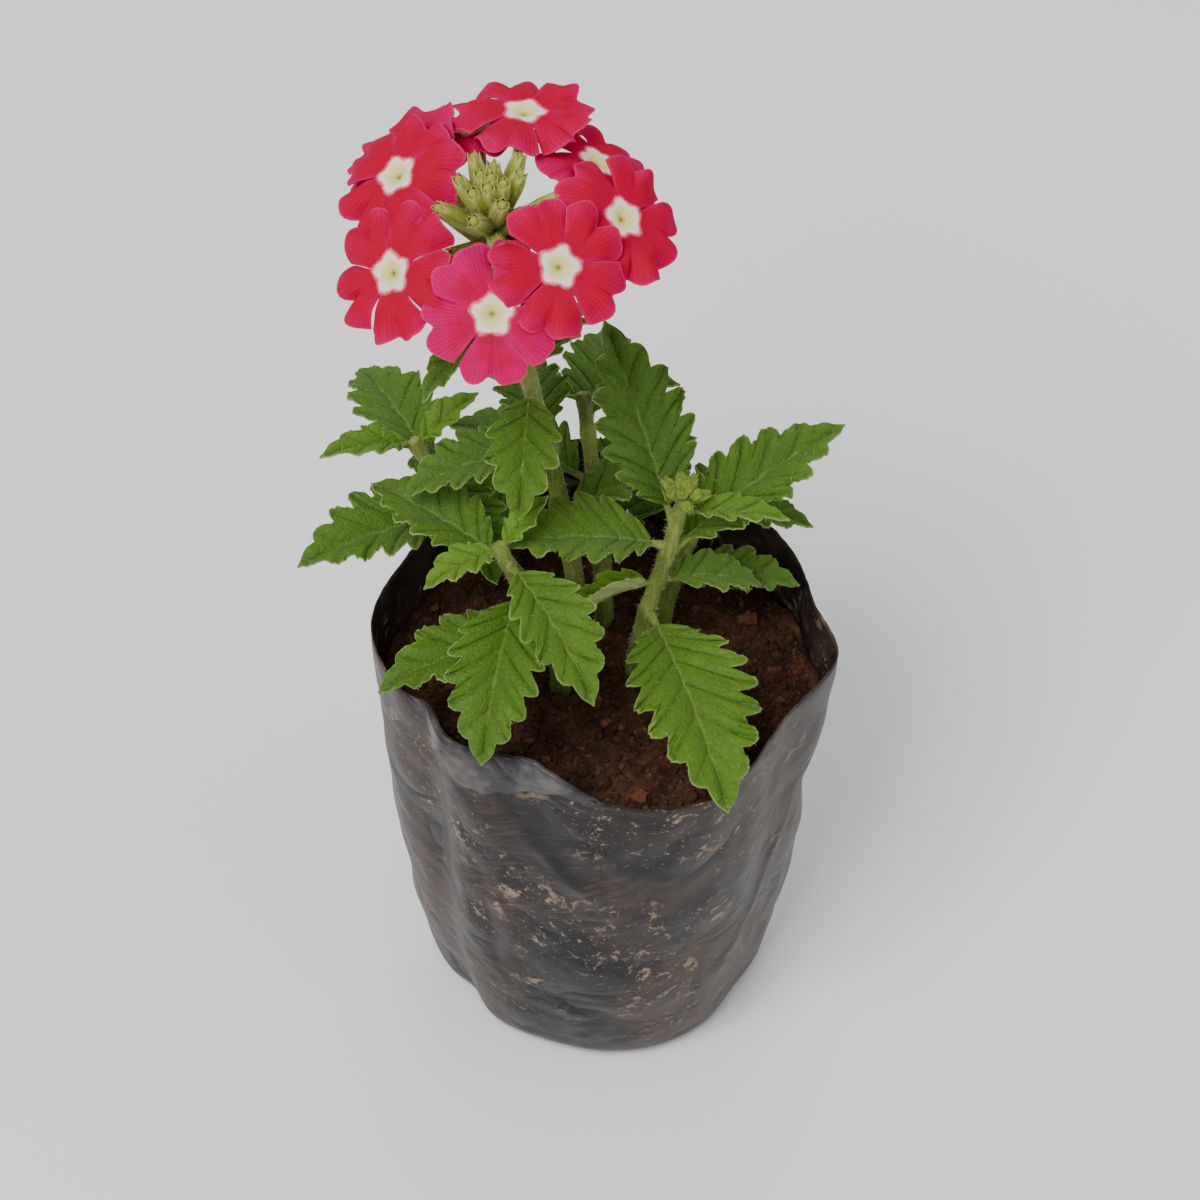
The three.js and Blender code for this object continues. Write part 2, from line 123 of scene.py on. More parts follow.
# Tone runs from -1, the deep green of an old shaded leaf, to 1, the yellow green of a young one.
Leaf = namedtuple("Leaf", "share azimuth length width pitch droop roll teeth tone")
Head = namedtuple("Head", "axis rachis open buds bud_length bud_radius spread")
Stem = namedtuple("Stem", "root bend lean tip leaves head", defaults=[None])
STEMS = {
    "leafy_stem_flowering": Stem(
        root=(-0.003, 0.004), bend=(-0.004, 0.006, 0.118),
        lean=(-0.013, 0.009, 0.150), tip=(-0.017, 0.008, 0.178),
        leaves=[
            Leaf(0.33, 14, 0.023, 0.011, 24, 30, 0, 4, -0.3),
            Leaf(0.48, 192, 0.028, 0.014, 18, 50, 0, 6, -0.2),
            Leaf(0.50, 97, 0.023, 0.014, 18, 35, 0, 6, -0.2),
            Leaf(0.64, 258, 0.025, 0.013, -6, 55, 0, 5, 0.1),
            Leaf(0.66, 64, 0.024, 0.012, 20, 50, 0, 5, 0.0),
            Leaf(0.80, 200, 0.022, 0.008, 0, 65, 0, 4, 0.2),
            Leaf(0.80, 20, 0.016, 0.006, 30, 45, 0, 3, 0.2),
        ],
        head=Head((-0.06, -0.28, 1), 0.011, True, 17, 0.0165, 0.0015, 44),
    ),
    "leafy_stem_right": Stem(
        root=(0.006, -0.004), bend=(0.006, -0.004, 0.096),
        lean=(0.012, -0.005, 0.112), tip=(0.014, -0.004, 0.125),
        leaves=[
            Leaf(0.40, -77, 0.045, 0.023, 12, 52, -6, 8, 0.35),
            Leaf(0.56, 190, 0.018, 0.009, 15, 75, 0, 4, 0.3),
            Leaf(0.56, 10, 0.022, 0.011, 5, 50, 0, 4, 0.1),
            Leaf(0.70, 24, 0.041, 0.018, 36, 30, 0, 7, -0.1),
            Leaf(0.76, 183, 0.032, 0.017, 30, 40, 0, 6, 0.3),
            Leaf(0.86, 114, 0.040, 0.019, 58, 14, 0, 7, -0.35),
            Leaf(0.97, -16, 0.020, 0.007, 18, 30, 0, 4, 0.5),
        ],
        head=Head((0.1, -0.2, 1), 0.005, False, 13, 0.0055, 0.00095, 62),
    ),
    "leafy_stem_front": Stem(
        root=(-0.008, -0.006), bend=(-0.008, -0.006, 0.096),
        lean=(-0.015, -0.010, 0.110), tip=(-0.019, -0.009, 0.124),
        leaves=[
            Leaf(0.38, 196, 0.034, 0.015, 22, 50, 0, 6, 0.1),
            Leaf(0.74, -110, 0.035, 0.017, 2, 66, 0, 7, 0.1),
            Leaf(0.90, -64, 0.032, 0.015, 6, 55, 0, 6, 0.3),
            Leaf(0.90, 140, 0.030, 0.015, 20, 28, 0, 6, 0.0),
            Leaf(0.97, -150, 0.017, 0.008, 24, 45, 0, 4, 1.0),
            Leaf(0.97, 28, 0.013, 0.006, 50, 25, 0, 3, 0.8),
        ],
    ),
    "leafy_stem_left": Stem(
        root=(-0.010, 0.007), bend=(-0.010, 0.007, 0.097),
        lean=(-0.026, 0.014, 0.112), tip=(-0.032, 0.017, 0.126),
        leaves=[
            Leaf(0.34, 122, 0.035, 0.018, 42, 50, 0, 7, -0.3),
            Leaf(0.62, 202, 0.036, 0.018, 28, 42, 0, 7, 0.0),
            Leaf(0.84, 112, 0.032, 0.016, 22, 45, 0, 6, -0.1),
            Leaf(0.84, -66, 0.025, 0.014, 0, 45, 0, 6, 0.1),
            Leaf(0.97, 200, 0.020, 0.008, 36, 40, 0, 4, 0.5),
            Leaf(0.97, 20, 0.015, 0.007, 45, 25, 0, 3, 0.6),
        ],
    ),
    "leafy_stem_back": Stem(
        root=(0.002, 0.010), bend=(0.002, 0.010, 0.098),
        lean=(0.001, 0.022, 0.112), tip=(0.000, 0.028, 0.124),
        leaves=[
            Leaf(0.30, 60, 0.037, 0.019, 36, 52, 0, 7, -0.4),
            Leaf(0.60, 140, 0.034, 0.017, 20, 48, 0, 7, -0.2),
            Leaf(0.60, 20, 0.022, 0.011, 28, 40, 0, 5, 0.0),
            Leaf(0.82, 75, 0.031, 0.015, 20, 50, 0, 6, -0.1),
            Leaf(0.96, 172, 0.019, 0.008, 36, 35, 0, 4, 0.4),
            Leaf(0.96, -12, 0.019, 0.008, 38, 40, 0, 4, 0.5),
        ],
    ),
    "leafy_stem_side": Stem(
        root=(0.012, 0.005), bend=(0.012, 0.005, 0.092),
        lean=(0.018, 0.010, 0.099), tip=(0.020, 0.013, 0.107),
        leaves=[
            Leaf(0.45, -12, 0.024, 0.012, 26, 48, 0, 5, -0.1),
            Leaf(0.75, 52, 0.029, 0.015, 14, 45, 0, 6, -0.3),
            Leaf(0.95, -14, 0.022, 0.010, 20, 45, 0, 5, 0.1),
            Leaf(0.95, 166, 0.013, 0.006, 50, 25, 0, 3, 0.4),
        ],
    ),
}

# ------------------------------------------------------------------ sizes of the fine surfaces

FILM_THICKNESS = 0.00025
FILM_COLUMNS = 300
FILM_ROWS = 64
FILM_CREASES = 30
CREASE_HEIGHTS = (0.012, 0.092)
CREASE_HALF_LENGTHS = (0.009, 0.028)
CREASE_WIDTHS = (0.0016, 0.0042)
CREASE_DEPTHS = (0.0003, 0.0009)
CREASE_SLANT = 0.75  # how far their directions stray from upright, in radians
CREASE_MARGIN = 0.01  # how far past its half length a crease is still reckoned with
CREASE_SEED = 11
# Waves of the film and of its rim: (depth, how many round it, how many up a metre, start).
FILM_WAVES = [(0.0006, 3.1, 60, 0), (0.0003, 8.3, 150, 5)]
RIM_WAVES = [(0.0009, 5.0), (0.0004, 17.0)]
FOOT_SHARES = (0.3, 0.6, 0.85, 1.0)  # of the foot's radius, at which the mesh has rings
FOOT_HEIGHTS = (0.0005, 0.0012, 0.0025)  # of its rings up the round edge of the foot
SMOOTH_FOOT = 0.010  # the height over which the creases come in
ROLL_RADIUS = 0.00055  # of the film's bend where its rim is turned down outside
ROLL_STEPS = 5
CUFF = Fold(-128, 20, 0.0, 0.0, 0.0090)  # where the rim is turned down, and how far
CUFF_LIFT = 0.0010  # how far the loose edge of the cuff stands out
CUFF_LEAST_SHARE = 0.08  # of the fold, below which the rim is a plain cut edge
CUFF_ROWS = 9
CUFF_RAGGEDNESS = 0.35  # how much its edge strays, as a share of its depth
CUFF_RAGS = 9.0  # how many rags there are round the rim
# The least dusty, darkest stretch of the film at its front, partly cleaner film and partly
# painted shade: where its middle is, and half its width.
CLEAN_AND_SHADED_X = -0.012
CLEAN_AND_SHADED_WIDTH = 0.016

SOIL_CLEARANCE = 0.0002  # between the soil and the film
SOIL_COLUMNS = 200
SOIL_RINGS = 60
SOIL_SIDE_ROWS = 16
# Lumps and dips of the soil's top: (height, how many a metre, place in the noise).
SOIL_LUMPS = [(0.0018, 120, 3), (0.0013, 330, 8), (0.0008, 800, 1)]
SOIL_SAG = 0.0012  # how far the top sinks where it meets the film
SOIL_SIDE_DROP = 0.002  # how far below the soil's height its smooth side ends
SOIL_RIM_DROP = 0.001  # how far below it the edge of its top meets the film
HOLE_SHARE = 1.12  # a stem's hole, as a share of the stem's radius
HOLE_RISE = 0.008  # how far above the soil the rod that cuts a hole goes
HOLE_SIDES = 20
# Crumbs in three sizes, with how many there are on a square metre and how round they are.
CRUMBS = [
    {"radius": 0.00050, "density": 0.98e6, "subdivisions": 1, "seed": 1},
    {"radius": 0.00110, "density": 0.08e6, "subdivisions": 2, "seed": 2},
    {"radius": 0.00180, "density": 0.014e6, "subdivisions": 3, "seed": 3},
]
CRUMB_SIZES = (0.55, 1.3)  # a crumb's three half widths, in its layer's radii
CRUMB_BULK = 0.5  # the scale of the finest crumbs, where the few biggest have 1 more
CRUMB_ROUGHNESS = 1.2  # how far its points are shifted at most, in its layer's radii
CRUMB_GRAIN = 1100.0  # how many shifts there are on a metre
LARGEST_CRUMB = 2.1  # a crumb's furthest reach, in its layer's radii
ROOM_AT_STEMS = 0.0016  # how far from the middle of a stem crumbs keep their own reach away

STEM_STEPS = 48
STEM_SIDES = 16
STEM_RIDGE = 0.09  # how far the four corners of a stem stand out, as a share of its radius
NODE_SWELLING = 0.18  # how much thicker a stem is where leaves leave it
NODE_LENGTH = 0.0016

LEAF_THICKNESS = 0.00032
LEAF_ROWS = 12  # rows of the blade's mesh for each tooth
LEAF_COLUMNS = 6  # columns on each side of the rib
SIDE_WIDTHS = (0.95, 1.06)  # how a leaf's two sides differ, as shares of its half width
BITES = (0.8, 1.12)  # how its notches differ, as shares of their depth
FIRST_BITES = 0.4  # the share of its depth that a notch has near the petiole
FIRST_STRETCH = 0.2  # of the blade, over which notches reach their full depth
TOOTH_SKEW = 1.7  # above 1, a tooth has its point past its middle
TOOTH_BLUNTNESS = 0.7  # below 1, a tooth's point is rounded
VEIN_PHASE = 8 / 12  # where along a tooth its vein ends, which is where the tooth is longest
VEIN_DEPTH = 0.00028
VEIN_WIDTH = 0.00055
RIB_DEPTH = 0.00036
RIB_WIDTH = 0.0005
PUCKER = 0.16625  # how far the blade swells between two veins, as a share of their distance
PLEAT = 0.00011  # how far two finer ridges stand up between two veins
TOOTH_LEAN = 0.6  # how much of a tooth's reach goes forwards along its vein
VEIN_CURVE = 0.25  # how much flatter the side veins run at the margin than at the rib
MARGIN_WAVE = 0.035  # how far the margin waves up and down, as a share of the half width
MARGIN_WAVES = 11  # how fast it waves, in radians along the blade
SWELL_RISE = 0.8  # below 1, the swelling between veins starts steeply beside the rib
MOST_TWIST = 0.09  # how far a blade may be tipped to one side at its tip
RIB_ROOT_RADIUS = 0.00078
RIB_TIP_RADIUS = 0.00014
RIB_TAPER = 1.6  # above 1, a rib is thinner than a cone along its outer half
RIB_REACH = 0.97  # how far along a leaf its rib goes
RIB_FOOT = 0.05  # of its length, over which a petiole is thicker at the stem
RIB_FOOT_SWELLING = 0.35
SMALL_LEAF = 0.012  # the length of a leaf whose rib has only this share of the radius
SMALL_LEAF_RIB = 0.62
BIG_LEAF = 0.040  # the length from which it has all of it
RIB_STEPS = 26
RIB_SIDES = 8
BLADE_START = 0.8 * RIB_ROOT_RADIUS  # the blade's half width where it leaves the petiole
# A small leaf that is folded up, so its pale lower side shows.
CURLED_LEAF = STEMS["leafy_stem_right"].leaves[1]
CURLED_FOLD = math.radians(66)
CURLED_TONE = 1.1

CALYX_AROUND = 20
CALYX_ROWS = 10
CALYX_WALL = 0.00014
CALYX_RIB = 0.09  # how far each of its five ribs stands out, as a share of its radius
CALYX_FOOT = 0.30  # of its length, over which it widens
CALYX_FOOT_WIDTH = 0.6  # at its very foot, as a share of its radius
CALYX_MOUTH = 0.70  # how far up it starts to close and to part into teeth
CALYX_BLUNTNESS = 0.8  # below 1, its teeth are rounded
BUD_WIDTH = 0.7  # of the bud or ovary in a calyx, as a share of the calyx's radius
BUD_LENGTH = 0.16  # half its length, as a share of the calyx's
BUD_SEGMENTS = 10
BUD_RINGS = 6
# The form of the closed calyces in the open head, of the buds, and of open florets' calyces.
BUD_IN_HEAD = {"closing": 0.36, "notch": 0.10, "bud_height": 0.84}
GREEN_BUD = {"closing": 0.6, "notch": 0.12, "bud_height": 0.8, "paleness": 0.35}
OPEN_CALYX = {"closing": 0.06, "notch": 0.14, "bud_height": 0.2}

PETAL_ROWS = 17
PETAL_COLUMNS = 24
PETAL_THICKNESS = 0.00028
PETAL_HALF_ANGLE = 36
SINUS_SHARE = 0.30  # the petals are one disc out to this share of the limb's radius
SINUS_LENGTH = 0.12  # of the radius, over which the gap between two petals opens
FREE_SHARE = 0.85  # the share of the radius from which a petal's end has its full form
PETAL_GAPS = (0.3, 1.6)  # how far a petal's side stands back from its neighbour, in degrees
PETAL_TURNS = (-2.0, 2.0)  # how far a petal is turned aside, in degrees
PETAL_LENGTHS = (0.96, 1.02)  # as shares of the limb's radius
CLEFT_DEPTH = 0.18  # of the notch in a petal's end, as a share of the limb's radius
CLEFT_DEPTHS = (0.6, 1.3)  # how the clefts differ, as shares of that
CLEFT_PLACES = (-0.12, 0.12)  # how far aside of a petal's middle they are
CLEFT_WIDTH = 0.20
END_WAVE = 0.022  # how far the end of a petal waves in and out, as a share of the radius
SIDES_CUT = 0.15  # how much shorter a petal is at its sides
SIDES_DROOP = 0.0009
GROOVE_WIDTH = 0.16
PETAL_GROOVE = 0.00045
PETAL_ARCH = 0.0006
THROAT_WIDTH = 0.0012
PETAL_RUFFLE = 0.0008
PETAL_LEANS = (0.0002, 0.0008)
TIP_LIFTS = (-0.0020, 0.0002)
# Florets whose petals bend down under a neighbour, or up over it: (neighbour, how far down).
PETALS_BENT = {
    1: (2, 0.0040),
    2: (1, -0.0012),
    3: (2, 0.0016),
    7: (8, 0.0016),
    8: (0, 0.0024),
}
EYE_RADIUS = 0.0032
EYE_POINTS = 0.12  # how far the eye's five points stand out, as a share of its radius
EYE_FRAY = 0.0009  # how far its edge strays
# Rings of colour in the eye, from cream to the green throat, whose darkest ring is painted
# shade in its opening: (share, from, to, colour).
EYE_RINGS = [
    (0.9, 0.0028, 0.0013, (246, 234, 132)),
    (0.8, 0.0011, 0.0005, (196, 190, 84)),
    (0.8, 0.0005, 0.0002, (118, 122, 46)),
]
FIRST_PETAL_SEED = 40  # the seed of the first floret, with one more for each of the others

TUBE_SHORT = 0.0002  # how far below the throat a tube ends
TUBE_BEND = 0.0022  # the length below the limb over which a tube turns to meet it
TUBE_ARCH = 0.0006
TUBE_DEPTH = 0.003  # how deep a tube stands in its calyx
TUBE_SIDES = 12
TUBE_MOUTH_RADIUS = 0.9 * TUBE_RADIUS

HAIR_DENSITY = 1.1e6  # hairs on a square metre where hairiness is 1
HAIR_LENGTH = 0.0008
HAIR_RADIUS = 0.00004
HAIR_LEAN = 0.5  # how far a hair may lean either way, in radians
HAIR_SIZES = (0.45, 1.15)

FULL_TURN = 2 * math.pi
ANY_TURN = 6.28  # the most that a random turn or phase may be
LEAF_CREASE = math.radians(55)  # edges that turn by more than this stay sharp
PETAL_CREASE = math.radians(60)
MERGE_DISTANCE = 0.000004


# ------------------------------------------------------------------ node trees


class Field:
    """An output of a node. Arithmetic on it adds the Math nodes that work it out."""

    def __init__(self, socket):
        self.socket = socket
        self.tree = socket.id_data

    def __neg__(self):
        return self * -1

    def beside(self, name):
        """Another output of the same node."""
        return Field(self.socket.node.outputs[name])


def add_operator(sign, operation):
    """Lets fields take a sign of arithmetic, with each other and with plain numbers."""
    setattr(Field, f"__{sign}__", lambda self, other: calculate(operation, self, other))
    setattr(Field, f"__r{sign}__", lambda self, other: calculate(operation, other, self))


add_operator("add", "ADD")
add_operator("sub", "SUBTRACT")
add_operator("mul", "MULTIPLY")
add_operator("truediv", "DIVIDE")
add_operator("pow", "POWER")


def plug(value, socket):
    """Links a field to a socket, or sets the socket to a plain value."""
    if isinstance(value, Field):
        value.tree.links.new(value.socket, socket)
    else:
        socket.default_value = value


def add_node(kind, *numbered, tree=None, **named):
    """The first output of a new node, which goes into its inputs' tree unless one is given.

    Named values are inputs where they have a capital, and settings where they don't.
    """
    values = [*numbered, *named.values()]
    tree = tree or next(value.tree for value in values if isinstance(value, Field))
    node = tree.nodes.new(kind)
    for name, value in named.items():
        if name[0].islower():
            setattr(node, name, value)
    for socket, value in zip(node.inputs, numbered):
        plug(value, socket)
    for name, value in named.items():
        if name[0].isupper():
            label = name.replace("_", " ")
            plug(value, next(s for s in node.inputs if s.name == label and s.enabled))
    return Field(next(s for s in node.outputs if s.enabled))


def calculate(operation, *terms):
    return add_node("ShaderNodeMath", *terms, operation=operation)


sine = partial(calculate, "SINE")
cosine = partial(calculate, "COSINE")
absolute = partial(calculate, "ABSOLUTE")
fraction = partial(calculate, "FRACT")
whole = partial(calculate, "FLOOR")
exponential = partial(calculate, "EXPONENT")
smaller = partial(calculate, "MINIMUM")
larger = partial(calculate, "MAXIMUM")
above = partial(calculate, "GREATER_THAN")


def bell(value, width):
    """1 where the value is 0, falling to 0 over about twice the width."""
    share = value / width
    return exponential(-(share * share))


def ramp(value, start, end, low=0.0, high=1.0):
    """A smooth change from low, where the value is at start, to high, where it is at end."""
    return add_node(
        "ShaderNodeMapRange", Value=value, From_Min=start, From_Max=end, To_Min=low, To_Max=high,
        interpolation_type="SMOOTHSTEP"
    )


def new_tree(name, **inputs):
    """A Geometry Nodes tree for a geometry and these inputs, each with its value or its kind."""
    tree = bpy.data.node_groups.new(name, "GeometryNodeTree")
    sockets = tree.interface
    sockets.new_socket("geometry", in_out="OUTPUT", socket_type="NodeSocketGeometry")
    for label, value in {"geometry": "Geometry", **inputs}.items():
        kind = {float: "Float", int: "Int"}.get(type(value), value)
        socket = sockets.new_socket(label, in_out="INPUT", socket_type=f"NodeSocket{kind}")
        if value != kind:
            socket.default_value = value
    start = tree.nodes.new("NodeGroupInput")
    return tree, SimpleNamespace(**{s.name: Field(s) for s in start.outputs if s.name})


def end_tree(geometry, material, **patches):
    """Closes a tree: realised, smooth, and in a material, or another where its attribute is set."""
    result = add_node("GeometryNodeRealizeInstances", geometry)
    result = add_node("GeometryNodeSetShadeSmooth", Geometry=result)
    result = add_node("GeometryNodeSetMaterial", Geometry=result, Material=material)
    for name, patch in patches.items():
        where = attribute(result.tree, name)
        result = add_node(
            "GeometryNodeSetMaterial", Geometry=result, Material=patch, Selection=where
        )
    plug(result, result.tree.nodes.new("NodeGroupOutput").inputs[0])
    return result.tree


def split(place):
    """The three coordinates of a place as fields."""
    node = add_node("ShaderNodeSeparateXYZ", place).socket.node
    return [Field(socket) for socket in node.outputs]


def position(tree):
    return split(add_node("GeometryNodeInputPosition", tree=tree))


def vector(x, y, z):
    return add_node("ShaderNodeCombineXYZ", x, y, z)


def moved(geometry, place):
    return add_node("GeometryNodeSetPosition", Geometry=geometry, Position=place)


def realised(instances):
    return add_node("GeometryNodeRealizeInstances", instances)


def sheet_of(tree, columns, rows, depth):
    """A flat sheet of squares, 1 long and this deep, with its points' place on it."""
    sheet = add_node(
        "GeometryNodeMeshGrid", tree=tree, Size_X=1.0, Size_Y=depth, Vertices_X=columns,
        Vertices_Y=rows
    )
    x, y, _ = position(tree)
    return sheet, x + 0.5, y


def stored(geometry, kind="FLOAT", domain="POINT", **values):
    """The geometry with each value kept as a named attribute of its points or faces."""
    for name, value in values.items():
        geometry = add_node(
            "GeometryNodeStoreNamedAttribute", Geometry=geometry, Name=name, Value=value,
            data_type=kind, domain=domain
        )
    return geometry


def attribute(tree, name, kind="FLOAT"):
    return add_node("GeometryNodeInputNamedAttribute", tree=tree, Name=name, data_type=kind)


def random_field(low, high, key, seed):
    """A number between low and high for each key."""
    return add_node(
        "FunctionNodeRandomValue", Min=low, Max=high, ID=key, Seed=seed, data_type="FLOAT"
    )


def together(*geometries):
    """The geometries as one."""
    join = geometries[0].tree.nodes.new("GeometryNodeJoinGeometry")
    for geometry in geometries:
        plug(geometry, join.inputs[0])
    return Field(join.outputs[0])


def merged(*geometries):
    """The geometries as one, with points that lie on each other made one point."""
    one = together(*geometries)
    return add_node("GeometryNodeMergeByDistance", Geometry=one, Distance=MERGE_DISTANCE)


def thickened(sheet, thickness):
    """A closed plate from an open sheet. Its lower faces are kept as lower_side."""
    lower = stored(add_node("GeometryNodeFlipFaces", sheet), domain="FACE", lower_side=1.0)
    upper = add_node(
        "GeometryNodeExtrudeMesh", Mesh=sheet, Offset_Scale=thickness, Individual=False,
        mode="FACES"
    )
    return merged(stored(upper, domain="FACE", lower_side=0.0), lower)


def new_object(name, data):
    made = bpy.data.objects.new(name, data)
    bpy.context.scene.collection.objects.link(made)
    return made


def plain_mesh(carrier):
    """The mesh of an object with its modifiers applied. The object is removed."""
    depsgraph = bpy.context.evaluated_depsgraph_get()
    made = bpy.data.meshes.new_from_object(
        carrier.evaluated_get(depsgraph), preserve_all_data_layers=True, depsgraph=depsgraph
    )
    bpy.data.objects.remove(carrier)
    return made


def grow(tree, base=None, **inputs):
    """The plain mesh that a tree makes from a base mesh, or from nothing, with these inputs."""
    carrier = new_object(tree.name, base or bpy.data.meshes.new(tree.name))
    modifier = carrier.modifiers.new(tree.name, "NODES")
    modifier.node_group = tree
    for item in tree.interface.items_tree:
        if item.in_out == "INPUT" and item.name in inputs:
            modifier[item.identifier] = inputs[item.name]
    return plain_mesh(carrier)


def joined(name, meshes):
    """One object from several meshes, with their materials and attributes kept."""
    parts = [new_object(name, mesh) for mesh in meshes]
    with bpy.context.temp_override(
        active_object=parts[0], object=parts[0], selected_editable_objects=parts
    ):
        bpy.ops.object.join()
    parts[0].name = name
    parts[0].data.name = name
    return parts[0]


def mesh_of(name, points, edges=(), faces=()):
    """A mesh of points with the edges or faces between them."""
    mesh = bpy.data.meshes.new(name)
    mesh.from_pydata([tuple(point) for point in points], edges, faces)
    return mesh


def add_attribute(mesh, name, kind, values):
    """Keeps one value, or one vector, for each point of a mesh under a name."""
    layer = mesh.attributes.new(name, kind, "POINT")
    key = "vector" if kind == "FLOAT_VECTOR" else "value"
    flat = [x for value in values for x in value] if key == "vector" else list(values)
    layer.data.foreach_set(key, flat)


# ------------------------------------------------------------------ trees for the plant


def rod_along(line, sides, ridge=0.0):
    """A closed rod along a line of points that hold its radius. Ridge raises four corners."""
    tree = line.tree
    circle = add_node("GeometryNodeCurvePrimitiveCircle", tree=tree, Resolution=sides, Radius=1.0)
    x, y, _ = position(tree)
    reach = 1 + ridge * cosine(4 * calculate("ARCTAN2", y, x))
    return add_node(
        "GeometryNodeCurveToMesh", Curve=add_node("GeometryNodeMeshToCurve", line),
        Profile_Curve=moved(circle, vector(x * reach, y * reach, 0.0)),
        Scale=attribute(tree, "radius"), Fill_Caps=True
    )


def rod_tree():
    """A stem, rachis or flower tube along a line of points that hold its radius."""
    _, given = new_tree("rod", sides=STEM_SIDES, ridge=STEM_RIDGE, material="Material")
    closed = rod_along(given.geometry, given.sides, given.ridge)
    return end_tree(stored(closed, hairiness=1.0), given.material)


def arched(given, distance, aside, lift):
    """A point of an arched leaf: at a distance along its rib, to its left, and above it."""
    pitch, roll = given.pitch, given.roll
    bend = given.droop / given.length
    angle = pitch - bend * distance
    over = lift * cosine(roll) + aside * sine(roll)
    x = (sine(pitch) - sine(angle)) / bend - sine(angle) * over
    y = aside * cosine(roll) - lift * sine(roll)
    z = (cosine(angle) - cosine(pitch)) / bend + cosine(angle) * over
    return vector(x, y, z)


def leaf_blade(tree, given, petiole):
    """A toothed blade, swollen between its veins."""
    teeth, seed = given.teeth, given.seed
    blade = given.length - petiole
    sheet, x, y = sheet_of(tree, teeth * LEAF_ROWS + 1, 2 * LEAF_COLUMNS + 1, 2.0)
    out = larger(x, 0.0)
    across = absolute(y)
    left = above(y, 0.0)

    # The margin, with rounded teeth that lean forwards and are a little uneven.
    tooth = fraction(out * teeth)
    key = whole(out * teeth) * 2 + left
    widest = BASE_POWER / (BASE_POWER + TIP_POWER)
    scale = widest**BASE_POWER * (1 - widest) ** TIP_POWER
    profile = out**BASE_POWER * larger(1 - out, 0.0) ** TIP_POWER / scale
    half = given.width * 0.5 * profile * random_field(*SIDE_WIDTHS, left, seed)
    bite = NOTCH_DEPTH * ramp(out, 0.0, FIRST_STRETCH, FIRST_BITES, 1.0)
    bite = bite * random_field(*BITES, key, seed)
    point = larger(sine(math.pi * tooth**TOOTH_SKEW), 0.0) ** TOOTH_BLUNTNESS
    reach = 1 - bite + (bite + TOOTH_REACH - 1) * point
    wing = BLADE_START * (1 - out) ** 4
    aside = y * larger(half * (1 + (reach - 1) * across), wing)

    # Rows of the mesh run along the side veins, from the rib forwards to the margin.
    along_vein = across * (1 + TOOTH_LEAN * (reach - 1) * across)
    forwards = along_vein * (1 + VEIN_CURVE - VEIN_CURVE * along_vein * along_vein)
    share = out * out + (out - out * out) * forwards
    distance = petiole + blade * share

    # Relief: grooves over the rib and the veins, and the blade swollen between them.
    from_vein = absolute(tooth - VEIN_PHASE)
    from_vein = smaller(from_vein, 1 - from_vein)
    vein_distance = from_vein * blade / teeth
    rib_distance = absolute(aside)
    between = 0.5 - 0.5 * cosine(FULL_TURN * from_vein)
    pleats = 0.5 - 0.5 * cosine(2 * FULL_TURN * from_vein)
    swell = PUCKER * blade / teeth * between * across**SWELL_RISE * (1 - 0.5 * across * across)
    swell = swell + PLEAT * pleats * ramp(across, 0.15, 0.6)
    grooves = VEIN_DEPTH * bell(vein_distance, VEIN_WIDTH) * (1 - 0.5 * across)
    grooves = grooves + RIB_DEPTH * bell(rib_distance, RIB_WIDTH)
    phase = random_field(0.0, ANY_TURN, 0, seed)
    wave = MARGIN_WAVE * half * sine(out * MARGIN_WAVES + phase + 2 * left) * across * across
    twist = random_field(-MOST_TWIST, MOST_TWIST, 3, seed) * aside * share
    lift = rib_distance * sine(given.fold) + swell - grooves + wave + twist

    sheet = stored(
        sheet, vein_distance=vein_distance, rib_distance=rib_distance, across=across, pleats=pleats
    )
    flat_place = vector(distance, aside, seed * 0.1)
    sheet = stored(sheet, kind="FLOAT_VECTOR", leaf_place=flat_place)
    sheet = moved(sheet, arched(given, distance, aside * cosine(given.fold), lift))
    return stored(thickened(merged(sheet), LEAF_THICKNESS), hairiness=0.12, is_rib=0.0)


def leaf_rib(tree, given, petiole):
    """The petiole, which goes on as the rib under the blade."""
    step = (1 / (RIB_STEPS - 1), 0, 0)
    line = add_node("GeometryNodeMeshLine", tree=tree, Count=RIB_STEPS, Offset=step)
    along = position(tree)[0]
    distance = LEAF_SINK + (RIB_REACH * given.length - LEAF_SINK) * along
    size = ramp(given.length, SMALL_LEAF, BIG_LEAF, SMALL_LEAF_RIB, 1.0)
    radius = RIB_TIP_RADIUS + (RIB_ROOT_RADIUS - RIB_TIP_RADIUS) * (1 - along) ** RIB_TAPER
    radius = radius * size * (1 + RIB_FOOT_SWELLING * bell(along, RIB_FOOT))
    # Under the blade the rib is sunk, so only its back stands out below.
    sunk = ramp(distance, 0.6 * petiole, 1.7 * petiole) * (0.9 * radius + 0.6 * RIB_DEPTH)
    line = moved(stored(line, radius=radius), arched(given, distance, 0.0 * along, -sunk))
    rib = stored(rod_along(line, RIB_SIDES), hairiness=0.8, is_rib=1.0)
    return stored(rib, domain="FACE", lower_side=0.0)


def leaf_tree():
    """A toothed blade on a rib that runs into the stem."""
    tree, given = new_tree(
        "leaf", length=0.030, width=0.015, teeth=6, pitch=0.3, droop=0.8, roll=0.0, fold=LEAF_FOLD,
        tone=0.0, seed=0, upper_side="Material", lower_side="Material", rib="Material"
    )
    petiole = given.length * PETIOLE_SHARE
    leaf = together(leaf_blade(tree, given, petiole), leaf_rib(tree, given, petiole))
    leaf = stored(leaf, tone=given.tone)
    return end_tree(leaf, given.upper_side, lower_side=given.lower_side, is_rib=given.rib)


